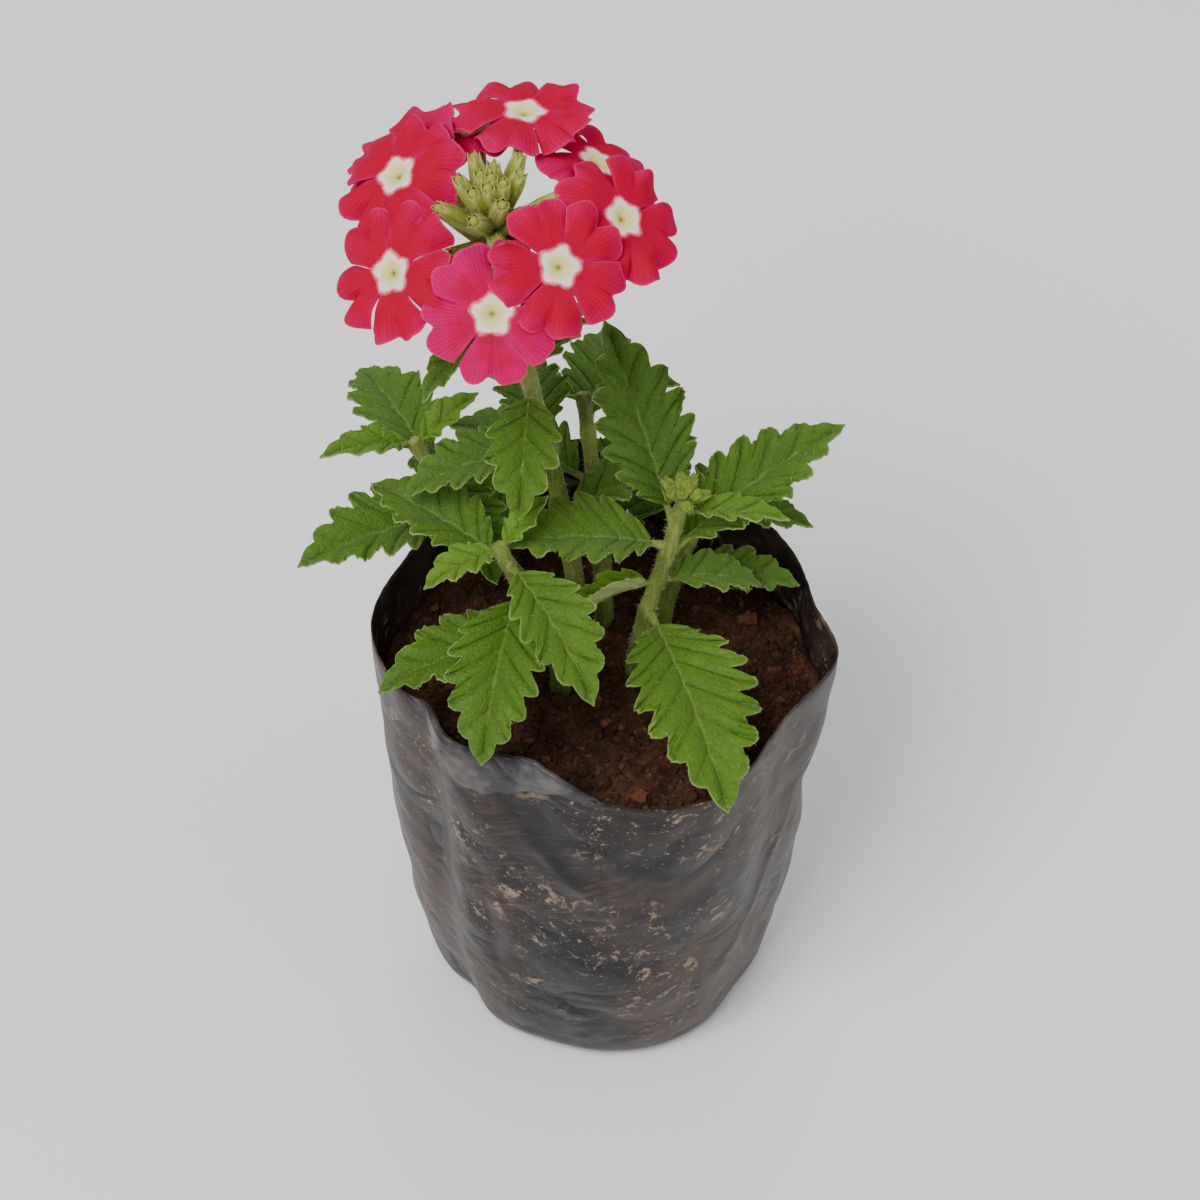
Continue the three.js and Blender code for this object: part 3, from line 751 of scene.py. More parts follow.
def calyx_tree():
    """A ribbed green cup with five blunt teeth, and the bud or ovary in it."""
    tree, given = new_tree(
        "calyx", length=0.012, radius=CALYX_RADIUS, closing=0.0, notch=0.16, bud_height=0.2,
        paleness=1.0, material="Material"
    )
    length, radius = given.length, given.radius
    sheet, up, y = sheet_of(tree, CALYX_ROWS + 1, CALYX_AROUND + 1, 1.0)
    angle = -FULL_TURN * (y + 0.5)
    rib = cosine(5 * angle)
    tooth = (0.5 + 0.5 * rib) ** CALYX_BLUNTNESS
    end = ramp(up, CALYX_MOUTH, 1.0)
    width = radius * ramp(up, 0.0, CALYX_FOOT, CALYX_FOOT_WIDTH, 1.0) * (1 - given.closing * end)
    width = width * (1 + CALYX_RIB * rib * ramp(up, 0.0, 0.2))
    height = length * up * (1 - given.notch * (1 - tooth) * end)
    sheet = stored(sheet, calyx_height=up * given.paleness, calyx_rib=rib)
    sheet = moved(sheet, vector(width * cosine(angle), width * sine(angle), height))
    cup = stored(thickened(merged(sheet), CALYX_WALL), hairiness=0.6)

    ball = add_node(
        "GeometryNodeMeshUVSphere", tree=tree, Segments=BUD_SEGMENTS, Rings=BUD_RINGS, Radius=1.0
    )
    bud = add_node(
        "GeometryNodeTransform", Geometry=ball,
        Translation=vector(0.0, 0.0, length * given.bud_height),
        Scale=vector(BUD_WIDTH * radius, BUD_WIDTH * radius, BUD_LENGTH * length)
    )
    bud = stored(bud, calyx_height=0.5 * given.paleness, calyx_rib=0.0, hairiness=0.2)
    return end_tree(together(cup, bud), given.material)


def cluster_tree():
    """A copy of the template at every point, turned and stretched along the point's direction."""
    tree, given = new_tree("cluster", template="Object", material="Material")
    template = add_node("GeometryNodeObjectInfo", Object=given.template, As_Instance=True)
    direction = attribute(tree, "direction", "FLOAT_VECTOR")
    copies = add_node(
        "GeometryNodeInstanceOnPoints", Points=given.geometry, Instance=template.beside("Geometry"),
        Rotation=add_node("FunctionNodeAlignRotationToVector", Vector=direction, axis="Z"),
        Scale=vector(1.0, 1.0, attribute(tree, "stretch"))
    )
    return end_tree(copies, given.material)


def limb_tree():
    """The flat face of a floret: notched petals round a throat, each a little different."""
    tree, given = new_tree(
        "limb", reach=LIMB_RADIUS, tone=0.0, bend=0.0, bend_towards=0.0, seed=0,
        upper_side="Material", lower_side="Material"
    )
    sheet, x, y = sheet_of(tree, PETAL_ROWS, PETAL_COLUMNS + 1, 2.0)
    sheet = stored(sheet, out=x, aside=y, from_middle=absolute(y))
    ring = add_node("GeometryNodeMeshCircle", tree=tree, Vertices=PETALS)
    copies = add_node("GeometryNodeInstanceOnPoints", Points=ring, Instance=sheet)
    number = add_node("GeometryNodeInputIndex", tree=tree)
    petals = realised(stored(copies, domain="INSTANCE", petal=number))

    out, aside, petal = (attribute(tree, name) for name in ("out", "aside", "petal"))
    out = larger(out, 0.0)

    def vary(low, high, salt):
        return random_field(low, high, petal + salt * PETALS, given.seed)

    # The outline: five petals apart beyond the sinus, each with a cleft in its end.
    free = ramp(out, SINUS_SHARE, FREE_SHARE)
    gap = ramp(out, SINUS_SHARE, SINUS_SHARE + SINUS_LENGTH)
    narrowing = gap * (0.3 + 1.7 * out) * vary(*PETAL_GAPS, 0)
    half_angle = math.radians(PETAL_HALF_ANGLE) - math.radians(1) * narrowing
    angle = FULL_TURN / PETALS * petal + aside * half_angle
    angle = angle + gap * math.radians(1) * vary(*PETAL_TURNS, 1)
    cleft = bell(aside + vary(*CLEFT_PLACES, 8), CLEFT_WIDTH)
    edge = 1 - CLEFT_DEPTH * vary(*CLEFT_DEPTHS, 2) * cleft - SIDES_CUT * absolute(aside) ** 3.6
    edge = edge + END_WAVE * sine(aside * 9 + vary(0.0, ANY_TURN, 7)) * ramp(out, 0.7, 1.0)
    edge = edge * vary(*PETAL_LENGTHS, 3)
    distance = given.reach * out * (1 + (edge - 1) * free)

    # The relief: arched, grooved down the middle, and ruffled towards the ends.
    ruffle = PETAL_RUFFLE * sine(aside * 6.0 + vary(0.0, ANY_TURN, 6)) * out**3
    arch = PETAL_ARCH * sine(math.pi * out) - SIDES_DROOP * aside * aside
    groove = PETAL_GROOVE * bell(aside, GROOVE_WIDTH)
    height = (arch - groove + ruffle + vary(*PETAL_LEANS, 5) * aside) * free
    height = height + out**4 * vary(*TIP_LIFTS, 4) - THROAT_DEPTH * bell(distance, THROAT_WIDTH)
    bend = given.bend * ramp(cosine(angle - given.bend_towards), 0.1, 0.9) * out * out
    petals = stored(petals, eye_distance=distance)
    place = vector(distance * cosine(angle), distance * sine(angle), height - bend)
    petals = thickened(merged(moved(petals, place)), PETAL_THICKNESS)
    petals = stored(petals, tone=given.tone)
    return end_tree(petals, given.upper_side, lower_side=given.lower_side)


def sprinkled(given, density):
    """Points spread over the given mesh, and the number of each."""
    points = add_node(
        "GeometryNodeDistributePointsOnFaces", Mesh=given.geometry, Density=density, Seed=given.seed
    )
    return points, add_node("GeometryNodeInputIndex", tree=points.tree)


def hair_tree():
    """Fine tapered hairs over a mesh, as close as its hairiness attribute says."""
    tree, given = new_tree(
        "hairs", length=HAIR_LENGTH, radius=HAIR_RADIUS, density=HAIR_DENSITY, lean=HAIR_LEAN,
        seed=0, material="Material"
    )
    points, number = sprinkled(given, given.density * attribute(tree, "hairiness"))
    hair = add_node(
        "GeometryNodeMeshCone", Vertices=3, Side_Segments=1, Radius_Top=0.0,
        Radius_Bottom=given.radius, Depth=given.length
    )
    tilts = [random_field(-1.0, 1.0, number, salt) * given.lean for salt in (11, 12)]
    turned = add_node(
        "FunctionNodeRotateRotation", Rotation=points.beside("Rotation"),
        Rotate_By=vector(*tilts, 0.0), rotation_space="LOCAL"
    )
    hairs = add_node(
        "GeometryNodeInstanceOnPoints", Points=points, Instance=hair, Rotation=turned,
        Scale=random_field(*HAIR_SIZES, number, 13)
    )
    return end_tree(hairs, given.material)


def crumb_tree():
    """Lumps of soil, half sunk in a mesh, where its room attribute leaves them clear."""
    tree, given = new_tree(
        "crumbs", radius=0.0006, density=3.0e5, subdivisions=1, seed=0, material="Material"
    )
    clear = above(attribute(tree, "room"), given.radius * LARGEST_CRUMB)
    points, number = sprinkled(given, given.density * clear)
    turns = [random_field(0.0, ANY_TURN, number, salt) for salt in (1, 2, 3)]
    sizes = [random_field(*CRUMB_SIZES, number, salt) for salt in (4, 5, 6)]
    bulk = random_field(0.0, 1.0, number, 7) ** 3 + CRUMB_BULK
    placed = add_node(
        "GeometryNodeInstanceOnPoints",
        Points=points,
        Instance=add_node(
            "GeometryNodeMeshIcoSphere", Radius=given.radius, Subdivisions=given.subdivisions
        ),
        Rotation=vector(*turns),
        Scale=vector(*(size * bulk for size in sizes)),
    )
    tones = random_field(0.0, 1.0, number, 8)
    lumps = realised(stored(placed, domain="INSTANCE", crumb_tone=tones))
    rough = add_node("ShaderNodeTexNoise", tree=tree, Scale=CRUMB_GRAIN, Detail=1.0)
    middle = (0.5, 0.5, 0.5)
    shift = add_node("ShaderNodeVectorMath", rough.beside("Color"), middle, operation="SUBTRACT")
    reach = CRUMB_ROUGHNESS * given.radius
    shift = add_node("ShaderNodeVectorMath", shift, Scale=reach, operation="SCALE")
    lumps = add_node("GeometryNodeSetPosition", Geometry=lumps, Offset=shift)
    return end_tree(lumps, given.material)


# ------------------------------------------------------------------ finishes


def linear(screen):
    """A screen colour of 0 to 255 a channel as the linear values that shaders take."""
    channels = [c / 255 for c in screen]
    return (*(c / 12.92 if c <= 0.04045 else ((c + 0.055) / 1.055) ** 2.4 for c in channels), 1.0)


def new_material(name, **constants):
    """A material whose shader has these constant values, given by the socket's name."""
    material = bpy.data.materials.new(name)
    material.use_nodes = True
    shader = material.node_tree.nodes["Principled BSDF"]
    for label, value in constants.items():
        shader.inputs[label.replace("_", " ")].default_value = value
    return material, material.node_tree


def plant_skin(name, tint, weight=0.1, depth=0.001, **constants):
    """A material that light sinks into: which colours of it, how much, and how deep."""
    return new_material(
        name, Subsurface_Radius=tint, Subsurface_Weight=weight, Subsurface_Scale=depth, **constants
    )


def finished(material, base, roughness, relief=None, depth=0.0):
    """The material with its colour, its roughness, and its relief of this depth."""
    sockets = material.node_tree.nodes["Principled BSDF"].inputs
    plug(base, sockets["Base Color"])
    plug(roughness, sockets["Roughness"])
    if relief is not None:
        bump = add_node("ShaderNodeBump", Height=relief, Distance=depth, Strength=1.0)
        plug(bump, sockets["Normal"])
    return material


def mixed(share, first, second):
    """A share of the second colour in the first. A plain triple is a screen colour."""
    first, second = (c if isinstance(c, Field) else linear(c) for c in (first, second))
    return add_node("ShaderNodeMix", Factor=share, A=first, B=second, data_type="RGBA")


def painted(ground, *coats):
    """A ground colour under coats of others, each with the share of it that covers."""
    for share, coat in coats:
        ground = mixed(share, ground, coat)
    return ground


def noted(tree, name, output="Fac"):
    """A named attribute of the piece, as a number unless the output says otherwise."""
    return add_node("ShaderNodeAttribute", tree=tree, attribute_name=name).beside(output)


def object_place(tree):
    return add_node("ShaderNodeTexCoord", tree=tree).beside("Object")


def stretched(place, scale, slant=0.0):
    """The place turned about Y by a slant, and then scaled."""
    if slant:
        place = add_node("ShaderNodeMapping", Vector=place, Rotation=(0.0, slant, 0.0))
    return add_node("ShaderNodeMapping", Vector=place, Scale=scale)


def clouds(place, size, detail=3.0, roughness=0.55, distortion=0.0):
    """Noise from 0 to 1 with blotches of about this size."""
    return add_node(
        "ShaderNodeTexNoise", Vector=place, Scale=1 / size, Detail=detail, Roughness=roughness,
        Distortion=distortion
    )


def blotches(place, size, start, end, *grain):
    """1 in blotches of about this size and 0 between them, with soft edges from start to end."""
    return ramp(clouds(place, size, *grain), start, end)


def cell_edges(place, size):
    """The distance to the nearest edge between cells of about this size, as a share of it."""
    feature = "DISTANCE_TO_EDGE"
    return add_node("ShaderNodeTexVoronoi", Vector=place, Scale=1 / size, feature=feature)


def film_material():
    """Black polythene, hazy with dust, streaked, and smeared with dried mud."""
    material, tree = new_material("dusty_black_film", IOR=1.5, Specular_IOR_Level=0.26)
    place = noted(tree, "film_place", "Vector")
    x, y, height = split(place)
    cuff = noted(tree, "cuff")
    outside = 1 - cuff

    # Dried mud: sharp dabs inside loose patches, and crumbs of it near the foot.
    patches = blotches(place, 0.024, 0.42, 0.58)
    band = ramp(height, 0.004, 0.030) * ramp(height, 0.095, 0.080)
    smears = blotches(place, 0.0060, 0.575, 0.645, 7.0, 0.68, 0.4)
    dabs = blotches(place, 0.0022, 0.590, 0.650, 5.0, 0.66, 0.5)
    specks = blotches(place, 0.0008, 0.64, 0.70, 2.0)
    mud = smaller(patches * (0.85 * smears + 0.75 * dabs + 0.6 * specks), 1.0)
    mud = mud * (0.35 + 0.65 * band) * outside

    # Dust: a soft film of it, thin in some places, with fine slanting streaks where it was wiped.
    slanting = stretched(place, (1.0, 1.0, 7.0), slant=math.radians(32))
    streaks = blotches(slanting, 0.0075, 0.50, 0.66, 4.0)
    streaks = streaks + blotches(slanting, 0.0028, 0.54, 0.70, 3.0, 0.6)
    wiped = blotches(place, 0.030, 0.46, 0.58, 2.0)
    dust = ramp(clouds(place, 0.014, 6.0, 0.62, 0.6), 0.36, 0.68, 0.12, 0.60)
    dust = dust * (0.8 + 0.4 * clouds(place, 0.0011, 2.0))
    # Less dust at the front left: partly cleaner film and partly painted shade.
    front = ramp(y, 0.0, -0.02)
    dust = dust * (1 - 0.75 * front * bell(x - CLEAN_AND_SHADED_X, CLEAN_AND_SHADED_WIDTH))
    dust = smaller(dust + 0.4 * streaks * wiped, 1.0) * (0.35 + 0.65 * outside)
    # The cuff is a lighter grey, partly its own inner face and partly painted highlight, with
    # lighter patches on it of dust and painted highlight.
    paler_dust_and_highlight = ramp(clouds(place, 0.007), 0.42, 0.62, 0.0, 0.8)
    film = painted(
        mixed(cuff, (13, 13, 18), (54, 53, 57)),
        (cuff * paler_dust_and_highlight, (104, 98, 94)),
        (dust * 0.85, (96, 80, 68)),
        (mud, mixed(clouds(place, 0.003), (186, 162, 138), (120, 100, 84))),
    )

    # Relief: sharp little creases between flat facets, and the mud's crust.
    facets = absolute(clouds(place, 0.016, 2.0, 0.45, 0.5) - 0.5) * 3
    finer = absolute(clouds(place, 0.0060, 1.0, 0.5, 0.3) - 0.5)
    crust = mud * clouds(place, 0.0006, 2.0)
    relief = (1 + cuff) * facets + (0.5 + 2.5 * cuff) * finer + 0.3 * crust
    return finished(material, film, 0.30 + 0.30 * dust + 0.35 * mud, relief, 0.0007)


def soil_material():
    """Damp reddish-brown soil."""
    material, tree = new_material("crumbly_brown_soil", Specular_IOR_Level=0.2)
    place = object_place(tree)
    damp = blotches(place, 0.009, 0.35, 0.65, 4.0)
    grit = blotches(place, 0.0011, 0.52, 0.66)
    tone = noted(tree, "crumb_tone")
    base = painted(
        mixed(damp, (44, 27, 18), (84, 52, 35)),
        (0.5 * grit, (112, 74, 52)),
        (ramp(tone, 0.0, 0.45, 0.0, 0.5), (60, 36, 25)),
        (ramp(tone, 0.88, 0.97, 0.0, 0.6), (132, 80, 54)),
    )
    relief = clouds(place, 0.0008, 5.0, 0.7)
    return finished(material, base, 0.86 + 0.12 * grit, relief, 0.0006)


GREEN_LIGHT = (0.5, 1.0, 0.2)


def leaf_material(name, shades, veins, painted_shade_in_grooves, side_vein, in_lines, raised):
    """A leaf's surface, in shades from the deepest tone to the youngest.

    painted_shade_in_grooves is how much of the deepest green is painted along the veins as painted
    shade in their grooves, side_vein how strong their lines are beside the rib's, and in_lines how
    much of the veins' own colour the lines have. Where the blade swells between veins, and at its
    rim, it is lighter as painted highlight.
    Raised is 1 where the veins stand up, and -1 where they are sunk.
    """
    material, tree = plant_skin(
        name, GREEN_LIGHT, depth=0.0012, Sheen_Weight=0.05, Sheen_Roughness=0.5,
        Sheen_Tint=linear((225, 240, 205)), Specular_IOR_Level=0.22
    )
    place = noted(tree, "leaf_place", "Vector")
    across = noted(tree, "across")
    vein_distance = noted(tree, "vein_distance")
    deep, middle, young = shades
    patchy = clouds(place, 0.006)
    fine = clouds(place, 0.0010)
    tone = noted(tree, "tone") + (patchy - 0.5) * 0.9 + 0.15 * across
    fade = 1 - 0.45 * across
    # Painted shade: the deepest green along the vein grooves.
    grooves = bell(vein_distance, 0.00050) * fade
    side_veins = bell(vein_distance, 0.00020) * fade
    rib = bell(noted(tree, "rib_distance"), 0.00036)
    net = bell(cell_edges(place, 0.0013), 0.07)
    # Painted highlight: young green where the blade swells between the veins.
    ridge_highlights = noted(tree, "pleats") * ramp(across, 0.3, 0.9)
    lines = larger(larger(rib, side_vein * side_veins), 0.25 * net)
    # Painted highlight: a light rim along the margin.
    rim = ramp(across, 0.95, 1.0) * ramp(patchy, 0.35, 0.65, 0.15, 0.60)
    base = painted(
        mixed(ramp(tone, -1.0, 0.15), deep, middle),
        (ramp(tone, 0.1, 1.1), young),
        (0.25 * ramp(fine, 0.35, 0.75), young),
        (painted_shade_in_grooves * grooves, deep),
        (0.30 * ridge_highlights, young),
        (lines * in_lines, veins),
        (rim, (160, 178, 106)),
    )
    relief = 0.45 * fine + raised * (0.4 * net + 0.5 * side_veins)
    return finished(material, base, 0.50 + 0.2 * fine, relief, 0.00024)


def stem_material():
    """Pale green hairy skin, with fine lines along it."""
    material, tree = plant_skin(
        "stem_skin", GREEN_LIGHT, Sheen_Weight=0.06, Specular_IOR_Level=0.25
    )
    place = object_place(tree)
    streaks = clouds(stretched(place, (1.0, 1.0, 0.18)), 0.0009)
    base = painted(
        mixed(blotches(place, 0.008, 0.35, 0.7), (92, 112, 38), (130, 140, 60)),
        (0.5 * ramp(streaks, 0.45, 0.7), (156, 160, 88)),
    )
    return finished(material, base, 0.5 + 0.2 * streaks, streaks, 0.00025)


def calyx_material():
    """Yellow-green, with darker ribs and pale tips."""
    material, tree = plant_skin(
        "calyx_skin", (0.6, 1.0, 0.25), weight=0.12, Sheen_Weight=0.06, Specular_IOR_Level=0.22
    )
    up, rib = noted(tree, "calyx_height"), noted(tree, "calyx_rib")
    speckle = clouds(object_place(tree), 0.0009)
    base = painted(
        mixed(ramp(up, 0.1, 0.7), (110, 136, 38), (152, 162, 58)),
        (ramp(up, 0.82, 1.0), (206, 194, 116)),
        (0.6 * ramp(rib, 0.1, 0.9), (88, 114, 30)),
        (0.25 * ramp(speckle, 0.4, 0.7), (184, 190, 96)),
    )
    return finished(material, base, 0.5 + 0.2 * speckle, speckle + 0.4 * rib, 0.0002)


def petal_material(name, heart, edge, rim_sheen_colour):
    """Velvety petal. Heart and edge are its two reds, and its very rim is lighter as painted sheen.
    """
    material, tree = plant_skin(name, (1.0, 0.2, 0.3), Specular_IOR_Level=0.05)
    place = object_place(tree)
    out, from_middle = noted(tree, "out"), noted(tree, "from_middle")
    reach = noted(tree, "eye_distance")
    cloud = clouds(place, 0.0035)
    # Towards the margin the red turns to the edge colour, partly the petal's own tint and partly
    # painted sheen.
    margin = larger(ramp(out, 0.60, 1.0), 0.8 * ramp(from_middle, 0.6, 1.0))
    shift = noted(tree, "tone") + 0.45 * margin + (cloud - 0.5) * 1.1
    veins = absolute(sine(from_middle * 26 + (cloud - 0.5) * 3))
    free = ramp(out, SINUS_SHARE, 0.6)
    rim = larger(ramp(out, 0.95, 1.0), ramp(from_middle, 0.93, 1.0) * free)

    # The eye: a white star with a flush round it, cream inside, and the green throat, darkest at
    # its middle as painted shade in its opening.
    frayed = reach + (clouds(place, 0.0011, 2.0) - 0.5) * EYE_FRAY
    star = EYE_RADIUS * (1 - EYE_POINTS * cosine(math.pi * from_middle))
    base = painted(
        mixed(ramp(shift, 0.1, 1.1), heart, edge),
        (0.10 * ramp(veins, 0.25, 0.0), (120, 0, 20)),
        (0.45 * rim, rim_sheen_colour),
        (ramp(frayed, star + 0.0007, star - 0.0001), (250, 120, 140)),
        (ramp(frayed, star + 0.0001, star - 0.0004), (255, 243, 222)),
        *((share * ramp(reach, start, end), shade) for share, start, end, shade in EYE_RINGS),
    )
    velvet = clouds(place, 0.00035, 2.0)
    relief = 0.5 * velvet + 0.35 * ramp(veins, 0.0, 0.4)
    return finished(material, base, 0.62 + 0.2 * velvet, relief, 0.00014)


def tube_material():
    """The slender flower tube, reddish with pale green blotches."""
    material, tree = new_material("flower_tube_skin", Specular_IOR_Level=0.25)
    speckle = clouds(object_place(tree), 0.0012)
    base = mixed(ramp(speckle, 0.35, 0.7), (172, 84, 82), (172, 160, 96))
    return finished(material, base, 0.5 + 0.2 * speckle, speckle, 0.0002)


def shaded_material(name, size, colours, roughness, **constants):
    """A plain surface between two colours and two roughnesses, in blotches of about this size."""
    material, tree = new_material(name, **constants)
    shade = clouds(object_place(tree), size, 2.0)
    least, most = roughness
    return finished(material, mixed(shade, *colours), least + (most - least) * shade)


FILM_FINISH = film_material()
SOIL_FINISH = soil_material()
LEAF_UPPER = leaf_material(
    "leaf_upper_side", shades=((50, 84, 24), (68, 101, 20), (94, 131, 29)), veins=(132, 156, 72),
    painted_shade_in_grooves=0.35, side_vein=0.55, in_lines=0.38, raised=-1
)
LEAF_LOWER = leaf_material(
    "leaf_lower_side", shades=((82, 106, 58), (104, 128, 66), (162, 174, 110)),
    veins=(160, 170, 110), painted_shade_in_grooves=0.0, side_vein=0.9, in_lines=0.80, raised=1
)
STEM_SKIN = stem_material()
CALYX_SKIN = calyx_material()
PETAL_UPPER = petal_material("petal_velvet", (185, 0, 50), (198, 0, 94), (216, 64, 108))
PETAL_LOWER = petal_material("petal_underside", (182, 44, 66), (196, 70, 104), (206, 100, 128))
TUBE_SKIN = tube_material()
HAIR_FINISH = shaded_material(
    "plant_hairs", 0.004, ((178, 192, 132), (206, 212, 172)), (0.45, 0.60), Sheen_Weight=0.2
)
FLOOR_FINISH = shaded_material(
    "pale_floor", 0.6, ((243, 243, 242), (247, 247, 246)), (0.75, 0.85), Specular_IOR_Level=0.2
)

# ------------------------------------------------------------------ the film bag


def ring_angles(count):
    return [FULL_TURN * i / count for i in range(count)]


def outward(angle):
    """The level direction at this angle."""
    return Vector((math.cos(angle), math.sin(angle), 0))


def polar(radius, angle, height):
    return (radius * math.cos(angle), radius * math.sin(angle), height)


def wrapped(turn):
    """An angle brought between half a turn either way."""
    return math.atan2(math.sin(turn), math.cos(turn))


def fold_share(angle, fold):
    turn = wrapped(angle - math.radians(fold.azimuth))
    return math.exp(-((turn / math.radians(fold.width)) ** 2))


def bag_radius(angle, height):
    """The bag's outside as the part has it, before the film's fine creases."""
    radius = FOOT_RADIUS + BAG_SPREAD * (1 - math.exp(-height / SPREAD_HEIGHT))
    if height < FOOT_ROUND:
        short = 1 - height / FOOT_ROUND
        radius -= (FOOT_RADIUS - FOOT_FLAT_RADIUS) * (1 - math.sqrt(1 - short * short))
    share = (height / RIM_HEIGHT) ** 2
    for fold in BAG_FOLDS:
        push = fold.foot_push + (fold.rim_push - fold.foot_push) * share
        radius += push * fold_share(angle, fold)
    return radius


Crease = namedtuple("Crease", "azimuth height direction half_length width depth")


def film_creases():
    """Creases all over the film, most of them nearly upright."""
    draw = random.Random(CREASE_SEED)
    return [
        Crease(
            azimuth=draw.uniform(-math.pi, math.pi),
            height=draw.uniform(*CREASE_HEIGHTS),
            direction=draw.gauss(math.pi / 2, CREASE_SLANT),
            half_length=draw.uniform(*CREASE_HALF_LENGTHS),
            width=draw.uniform(*CREASE_WIDTHS),
            depth=draw.choice((-1, 1)) * draw.uniform(*CREASE_DEPTHS),
        )
        for _ in range(FILM_CREASES)
    ]


CREASES = film_creases()


def crumple(angle, height):
    """How far the film stands out from its smooth form."""
    total = 0.0
    for depth, round_it, up_it, start in FILM_WAVES:
        total += depth * noise.noise(outward(angle) * round_it + Vector((start, 0, height * up_it)))
    for crease in CREASES:
        across = FOOT_RADIUS * wrapped(angle - crease.azimuth)
        up = height - crease.height
        if max(abs(across), abs(up)) > crease.half_length + CREASE_MARGIN:
            continue
        level, upright = math.cos(crease.direction), math.sin(crease.direction)
        along = across * level + up * upright
        off = up * level - across * upright
        if abs(along) < crease.half_length:
            fade = (1 - (along / crease.half_length) ** 2) ** 2
            total += crease.depth * fade * math.exp(-abs(off) / crease.width)
    return total


def film_radius(angle, height):
    """The middle of the film."""
    creased = min(1.0, height / SMOOTH_FOOT)
    return bag_radius(angle, height) - FILM / 2 + creased * crumple(angle, height)


def film_rim(angle):
    height = RIM_HEIGHT + RIM_BACK_RISE * math.sin(angle)
    height += sum(fold.rim_rise * fold_share(angle, fold) for fold in BAG_FOLDS)
    return height + sum(rise * noise.noise(outward(angle) * many) for rise, many in RIM_WAVES)


def ring_mesh(name, rings, foot, top=None):
    """A round shell from rings of equal count, with a point at its foot and perhaps at its top."""
    count = len(rings[0])
    points = [foot, *(point for ring in rings for point in ring)]
    starts = range(1, len(points), count)
    sides = [(i, (i + 1) % count) for i in range(count)]
    faces = [(0, 1 + j, 1 + i) for i, j in sides]
    for low, high in zip(starts, starts[1:]):
        faces += [(low + i, low + j, high + j, high + i) for i, j in sides]
    if top is not None:
        faces += [(starts[-1] + i, starts[-1] + j, len(points)) for i, j in sides]
        points.append(top)
    mesh = mesh_of(name, points, faces=faces)
    mesh.shade_smooth()
    return mesh


def merge_doubles(mesh):
    """Makes points that lie on each other one point, and drops faces that this closes up."""
    editable = bmesh.new()
    editable.from_mesh(mesh)
    bmesh.ops.remove_doubles(editable, verts=editable.verts, dist=MERGE_DISTANCE)
    editable.to_mesh(mesh)
    editable.free()


def film_column(angle):
    """The film from the edge of its flat foot over the rim: (radius, height, cuff) each."""
    low = FILM_THICKNESS / 2
    column = [(share * film_radius(angle, 0.0), low, 0.0) for share in FOOT_SHARES]
    rim = film_rim(angle)
    rise = (rim - FOOT_ROUND) / FILM_ROWS
    heights = [*FOOT_HEIGHTS, *(FOOT_ROUND + rise * row for row in range(FILM_ROWS + 1))]
    column += [(film_radius(angle, height), height, 0.0) for height in heights]
    edge = film_radius(angle, rim)
    turned = max(0.0, fold_share(angle, CUFF) - CUFF_LEAST_SHARE) / (1 - CUFF_LEAST_SHARE)
    roll = ROLL_RADIUS * min(1.0, 4 * turned)
    ragged = 1 + CUFF_RAGGEDNESS * noise.noise(outward(angle) * CUFF_RAGS)
    for step in range(1, ROLL_STEPS + 1):
        turn = math.pi * step / ROLL_STEPS
        radius = edge + roll * (1 - math.cos(turn))
        column.append((radius, rim + roll * math.sin(turn), 0.5 if turned else 0.0))
    for row in range(1, CUFF_ROWS + 1):
        share = row / CUFF_ROWS
        height = rim - CUFF.rim_rise * turned * share * ragged
        lift = 2 * roll + CUFF_LIFT * share * turned
        column.append((film_radius(angle, height) + lift, height, 1.0 if turned else 0.0))
    return column


def film_bag():
    """The film as one thin shell, from the middle of its foot to the edge of its cuff."""
    angles = ring_angles(FILM_COLUMNS)
    rows = list(zip(*(film_column(angle) for angle in angles)))
    rings = [[polar(r, angle, h) for angle, (r, h, _) in zip(angles, row)] for row in rows]
    mesh = ring_mesh("nursery_bag", rings, (0, 0, FILM_THICKNESS / 2))
    cuffs, places = [0.0], [(0.0, 0.0, 0.0)]
    for row in rows:
        for angle, (radius, height, cuff) in zip(angles, row):
            cuffs.append(cuff)
            places.append(polar(min(radius, FOOT_RADIUS), angle, height))
    add_attribute(mesh, "cuff", "FLOAT", cuffs)
    add_attribute(mesh, "film_place", "FLOAT_VECTOR", places)
    mesh.materials.append(FILM_FINISH)
    merge_doubles(mesh)
    bag = new_object("nursery_bag", mesh)
    shell = bag.modifiers.new("film thickness", "SOLIDIFY")
    shell.thickness = FILM_THICKNESS
    shell.offset = 0.0
    return bag


# ------------------------------------------------------------------ the soil


def soil_top(x, y, share):
    """The soil's height at a place that is this share of the way out to the film."""
    wave = FULL_TURN / SOIL_WAVE_LENGTH
    height = SOIL_HEIGHT + SOIL_MOUND * (1 - share)
    height += SOIL_WAVE * math.sin(wave * x) * math.cos(wave * y)
    for rise, many, start in SOIL_LUMPS:
        height += rise * noise.noise(Vector((x * many, y * many, start)))
    return height - SOIL_SAG * share**8


